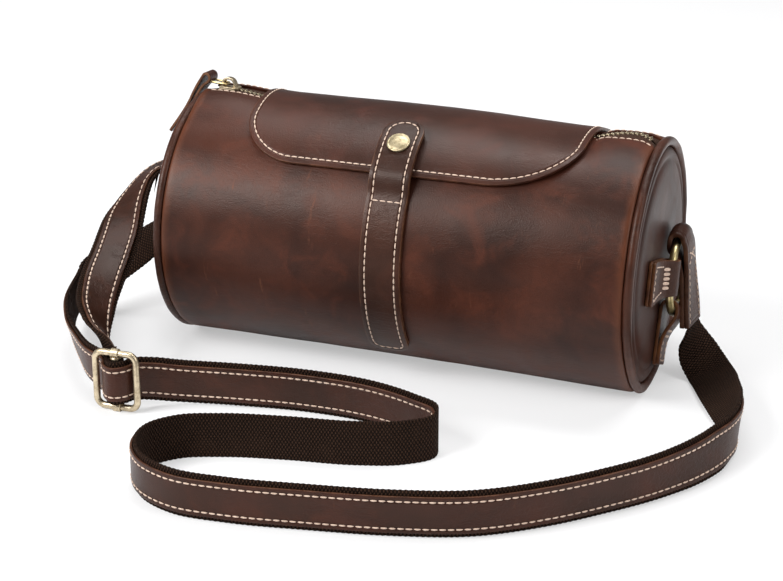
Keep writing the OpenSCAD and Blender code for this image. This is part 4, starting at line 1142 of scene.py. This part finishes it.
def flap_sheet(name, inset, low, high, rounding, columns=60):
    """One layer of the flap, between two heights over what it lies on. Its rows are closest together
    along the round corners."""
    front = flap_front + degrees(inset / rest_r)
    corner, back = flap_corner / rest_r, radians(flap_back - front)
    rows = [np.linspace(0, 1, 26) ** 2 * corner, np.arange(corner + 0.02, back, 0.022), [back]]
    angles = front + np.degrees(np.concatenate(rows))
    angles[0] += 0.02
    from_front = np.radians(angles - front) * rest_r
    share = np.linspace(-1, 1, columns + 1)
    share = np.sign(share) * (1 - (1 - np.abs(share)) ** 1.25)
    right = (share < 0)[None]
    half = flap_half(from_front[:, None], right, inset) + np.where(right, 0, flap_spread(angles)[:, None])
    x = flap_x - share[None] * half
    r = flap_r(x, angles[:, None]) + high
    place = polar(x, angles[:, None], r)
    free = smooth((np.abs(share)[None] - 0.3) / 0.7) * smooth(from_front / (20 * mm))[:, None]
    r = r + 0.25 * mm * lumps(place, 55 * mm, 3) * free
    place = polar(x, angles[:, None], r)
    to_side = half * (1 - np.abs(share)[None])
    edge = np.minimum(to_side, from_front[:, None])
    # Near the round corners the distance to the edge is measured to the arc
    long = np.where(right, flap_long_corner, flap_corner)
    arc_x = np.maximum(np.abs(x - flap_x) - (flap_w / 2 - long), 0) / long
    arc_y = np.maximum(1 - from_front[:, None] / flap_corner, 0)
    in_corner = (arc_x > 0) & (arc_y > 0)
    edge = np.where(in_corner, flap_corner * (1 - np.hypot(arc_x, arc_y)), edge)
    flat = np.stack([x, from_front[:, None] + 0 * x], -1)
    sheet = lay_sheet(name, place, flat, np.maximum(edge, 0))
    thicken(sheet, high - low, rounding)
    smooth_by_angle(sheet, 50)
    return sheet, angles


flap, angles = flap_sheet("flap_outer", 0, flap_lining_t, flap_lining_t + flap_t, 0.4 * mm)
lining, _ = flap_sheet("flap_suede", 1 * mm, 0, flap_lining_t, 0.15 * mm)
finish(flap, None, "flap_leather", [flap_leather, tan_edge], "flap", "flap_seam")
finish(lining, None, "flap_leather", [suede, suede], "flap_lining")
seam_in = 3 * mm
flap_top_t = flap_lining_t + flap_t
from_front = np.radians(angles - flap_front) * rest_r
inside = from_front >= seam_in
angles = angles[inside]
side_line = []
for s in (1, -1):
    seam_half = flap_half(from_front[inside] - seam_in, s > 0, seam_in)
    x = flap_x + s * seam_half + min(s, 0) * flap_spread(angles)
    line = polar(x, angles, flap_r(x, angles) + flap_top_t)
    side_line.append(line if s > 0 else line[::-1])
right_end, left_end = side_line[0][0], side_line[1][-1]
middle = np.linspace(-1, 1, 60)[1:-1, None] * (right_end - left_end) / 2 + (right_end + left_end) / 2
whole = np.vstack([side_line[1], middle, side_line[0]])
flap_seam = sew("flap_stitches", [(whole, spokes(whole))], None, "flap_leather", 3.75 * mm, 3.4 * mm,
                thick=0.85)
x = np.linspace(-flap_w / 2 + seam_in, flap_w / 2 - seam_in, 100) + flap_x
rows = [polar(x, a, rest_r + flap_top_t) for a in (flap_back - 2.6, flap_back - 9.5)]
sew("flap_sewn_edge", [(line, spokes(line)) for line in rows], "bag", "flap_leather", 3.75 * mm, 3.4 * mm,
    thick=0.85)
for piece in (flap, lining, flap_seam):
    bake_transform(piece)

# Closing strap
# Two layers of leather sewn together. Its lower part is sewn to the barrel's front up to a cross stitch.
# Above that it is a loose tongue that lies over the flap and snaps shut.
closing_x, closing_w, closing_t = -1.6 * mm, 21.5 * mm, 2.2 * mm
closing_corner = 8 * mm
closing_low, closing_bend, closing_tip, snap_angle = -45, 35, 74.5, 59.5
strap_rest_r, tongue_snap_r, tongue_edge_r = 65.1 * mm, 70.0 * mm, 69.2 * mm


def closing_r(angle):
    """Radius of the closing strap's inner side"""
    up = smooth((angle - closing_bend) / (flap_front - closing_bend))
    rise = strap_rest_r + (tongue_edge_r - strap_rest_r) * up
    over = tongue_edge_r + (tongue_snap_r - tongue_edge_r) * (angle - flap_front) / (snap_angle - flap_front)
    tip = np.maximum(flap_r(closing_x, angle) + flap_top_t + 0.4 * mm,
                     tongue_snap_r - 0.4 * mm * (angle - snap_angle) / (closing_tip - snap_angle))
    return np.where(angle < flap_front, rise, np.where(angle < snap_angle, over, tip))


def closing_half(from_low, from_tip, inset=0):
    """Half the width of the closing strap, or of its seam, that far from its lower end and its tip"""
    half = closing_w / 2 - inset
    return np.minimum(corner_half(from_low - inset, half, closing_corner - inset),
                      corner_half(from_tip - inset, half, half))


closing_leather = leather("waxed closing leather", "#25120b", "#391f15", "#49261a", "#744b35", 0.38,
                          creases=0.5, scuffs=0.3, edge_colour="#7d5439", stitch_line=2.9 * mm)
low_end = closing_low + np.degrees(np.linspace(0, 1, 10) ** 2 * closing_corner / (66 * mm))
top_end = closing_tip - np.degrees(np.linspace(1, 0, 16) ** 2 * closing_w / 2 / (71 * mm))
angles = np.concatenate([low_end, np.arange(low_end[-1] + 1.2, top_end[0] - 0.6, 1.2), top_end])
angles[0] += 0.03
angles[-1] -= 0.03
r = closing_r(angles)
line = polar(0 * angles, angles, r)
far = along(line)
half = closing_half(far, far[-1] - far)
share = np.linspace(1, -1, 13)
x = closing_x + share[None] * half[:, None]
skin = polar(x, angles[:, None], (r + closing_t)[:, None])
edge = np.minimum(half[:, None] * (1 - np.abs(share))[None],
                  np.minimum(far, far[-1] - far)[:, None] + 0 * share[None])
closing = lay_sheet("closing_strap_leather", skin, np.stack([x, far[:, None] + 0 * x], -1), edge)
thicken(closing, closing_t, 0.45 * mm)
smooth_by_angle(closing, 50)
finish(closing, None, "flap_leather", [closing_leather, tan_edge], "closing_strap", "closing_tongue")
seam_in = 2.9 * mm
inner = (far > seam_in) & (far < far[-1] - seam_in)
in_half = closing_half(far[inner], far[-1] - far[inner], seam_in)
up_side, down_side = [polar(closing_x + s * in_half, angles[inner], r[inner] + closing_t) for s in (1, -1)]
whole = np.vstack([up_side, down_side[::-1], up_side[:1]])
closing_seam = sew("closing_strap_stitches", [(whole, spokes(whole))], None, "flap_leather", 3.7 * mm,
                   3.35 * mm, thick=0.85)
for piece in (closing, closing_seam):
    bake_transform(piece)
x = np.linspace(-closing_w / 2 + seam_in, closing_w / 2 - seam_in, 8) + closing_x
line = polar(x, closing_bend - 1.2, strap_rest_r + closing_t)
sew("closing_cross_stitches", [(line, spokes(line))], "bag", "flap_leather", 3.7 * mm, 3.3 * mm, thick=0.85)

# Snap
# A brass press stud: a domed cap riveted through the tongue to its socket, and a stud on the flap.
cap_brass = antique_brass("satin brass cap", "#b9ab8c", "#6f6448", 0.4)
theta = radians(snap_angle)
snap_out = np.array([0, -cos(theta), sin(theta)])
cap_at = np.array([closing_x, 0, axis_z]) + snap_out * (tongue_snap_r + closing_t)
cap_section = [(-0.3, 5.6), (0.3, 6), (0.75, 5.95), (1, 5.6), (1.02, 5.2), (0.9, 4.9), (1.05, 4.5),
               (1.3, 3.6), (1.45, 2.4), (1.52, 1.2), (1.54, 0)]
cap_section = [(a * mm, around * mm) for a, around in cap_section]
cap = lathe("snap_domed_cap", cap_section, tuple(cap_at), tuple(snap_out), 48)
cap.data.shade_smooth()
finish(cap, "tongue", "brass", [cap_brass], "snap_cap")
dress(brass, "snap_socket", "snap_stud")

# Pull
# A link of brass wire turns under the slider's bridge. A leather strip is folded over the link's far bar
# with a fat, stiff bend, and its two leaves hang apart down the left rim.
link_x, link_r, link_w, link_wire = -113.8 * mm, 66.4 * mm + slider_lift, 6.4 * mm, 1.3 * mm
link_far = (-124.6 * mm, 70.6 * mm)
link_rise = atan2(link_far[1] - link_r, link_x - link_far[0])
link_l = hypot(link_far[1] - link_r, link_x - link_far[0])
link_line = [(-(u + link_l / 2), v, 0) for u, v in rounded_frame(link_l, link_w, 1.6 * mm)]
link = wire_loop("pull_wire_link", link_line, link_wire / 2, 16)
link.data.transform(zip_frame(link_x, link_r) @ Matrix.Rotation(link_rise, 4, "Y"))
finish(link, "pull", "brass", [brass], "zip_pull_link")
tab_w, tab_t = 10.5 * mm, 1.5 * mm
tab_leather = leather("waxed tab leather", "#2f1911", "#4c2718", "#653823", "#926341", 0.42,
                      edge_colour="#8a5f40", creases=0.6)
head_r, leaf_x, leaf_z = 2.1 * mm, -19.6 * mm, -30.4 * mm
path = [(leaf_x - 1.3 * mm, 0, leaf_z + 0.8 * mm), (0.56 * leaf_x, 0, -15.2 * mm), (-6.2 * mm, 0, -4.6 * mm),
        (-3.4 * mm, 0, 0.2 * mm)]
path += [(head_r * cos(a), 0, 1.7 * mm + head_r * 1.15 * sin(a))
         for a in np.linspace(radians(165), radians(-60), 9)]
path += [(-2 * mm, 0, -2.6 * mm), (-5 * mm, 0, -7.4 * mm), (0.56 * leaf_x + 1.7 * mm, 0, -16.8 * mm),
         (leaf_x + 1.8 * mm, 0, leaf_z - 0.3 * mm)]
place = zip_frame(*link_far)
path = soften([tuple(place @ Vector(p)) for p in path], 0.6 * mm, 2)
far = along(path)
from_end = np.minimum(far, far[-1] - far)
half = rounded(tab_w / 2 * (0.98 + 0.02 * np.clip(from_end / (10 * mm), 0, 1)), from_end, 1.5 * mm)
tab, _, _, _ = folded_strip("pull_tab_leather", path, (half, half), tab_t, 8,
                            np.array(place.to_3x3() @ Vector((0, -1, 0))), 0.35 * mm)
finish(tab, "pull", "tab_leather", [tab_leather, tan_edge], "zip_pull_tab")


# Floor, backdrop and light
# A plain white table top under three large, soft studio lamps, with a pale room all round.
bpy.ops.object.select_all(action="DESELECT")
bpy.ops.mesh.primitive_plane_add(size=6, location=(0, 0, 0))
table = bpy.context.active_object
table.name = "table_top"
made, tree, shader = new_material("matt white table top", 0.7, Specular_IOR_Level=0.1)
shader.inputs["Base Color"].default_value = linear("#f4f4f5")
seen = node(tree, "LightPath").outputs["Is Camera Ray"]
glow = node(tree, "Emission", Color=(1, 1, 1, 1), Strength=1)
blend = node(tree, "MixShader", Fac=math(tree, "MULTIPLY", seen, 0.45))
tree.links.new(shader.outputs[0], blend.inputs[1])
tree.links.new(glow.outputs[0], blend.inputs[2])
tree.links.new(blend.outputs[0], tree.nodes["Material Output"].inputs["Surface"])
table.data.materials.append(made)


def lamp(name, place, size, power, aim=(0, 0, 50 * mm)):
    """A rectangular soft box, turned to the bag"""
    light = bpy.data.lights.new(name, "AREA")
    light.shape, light.size, light.size_y, light.energy = "RECTANGLE", size[0], size[1], power
    lit = bpy.data.objects.new(name, light)
    scene.collection.objects.link(lit)
    lit.location = place
    lit.rotation_euler = (Vector(aim) - Vector(place)).to_track_quat("-Z", "Y").to_euler()


lamp("key_softbox", (-0.85, -0.95, 1.05), (0.9, 0.7), 28)
lamp("fill_softbox", (1.3, -0.35, 0.75), (0.5, 1.0), 8)
lamp("top_softbox", (0.05, 0.35, 1.3), (1.3, 0.5), 14)

world = bpy.data.worlds.new("pale studio")
scene.world = world
world.use_nodes = True
tree = world.node_tree
seen = node(tree, "LightPath").outputs["Is Camera Ray"]
backdrop = node(tree, "Background", Color=(1, 1, 1, 1), Strength=1)
room = node(tree, "Background", Color=(1, 1, 1, 1), Strength=0.2)
choice = node(tree, "MixShader", Fac=seen)
tree.links.new(room.outputs[0], choice.inputs[1])
tree.links.new(backdrop.outputs[0], choice.inputs[2])
tree.links.new(choice.outputs[0], tree.nodes["World Output"].inputs["Surface"])

bpy.context.view_layer.update()
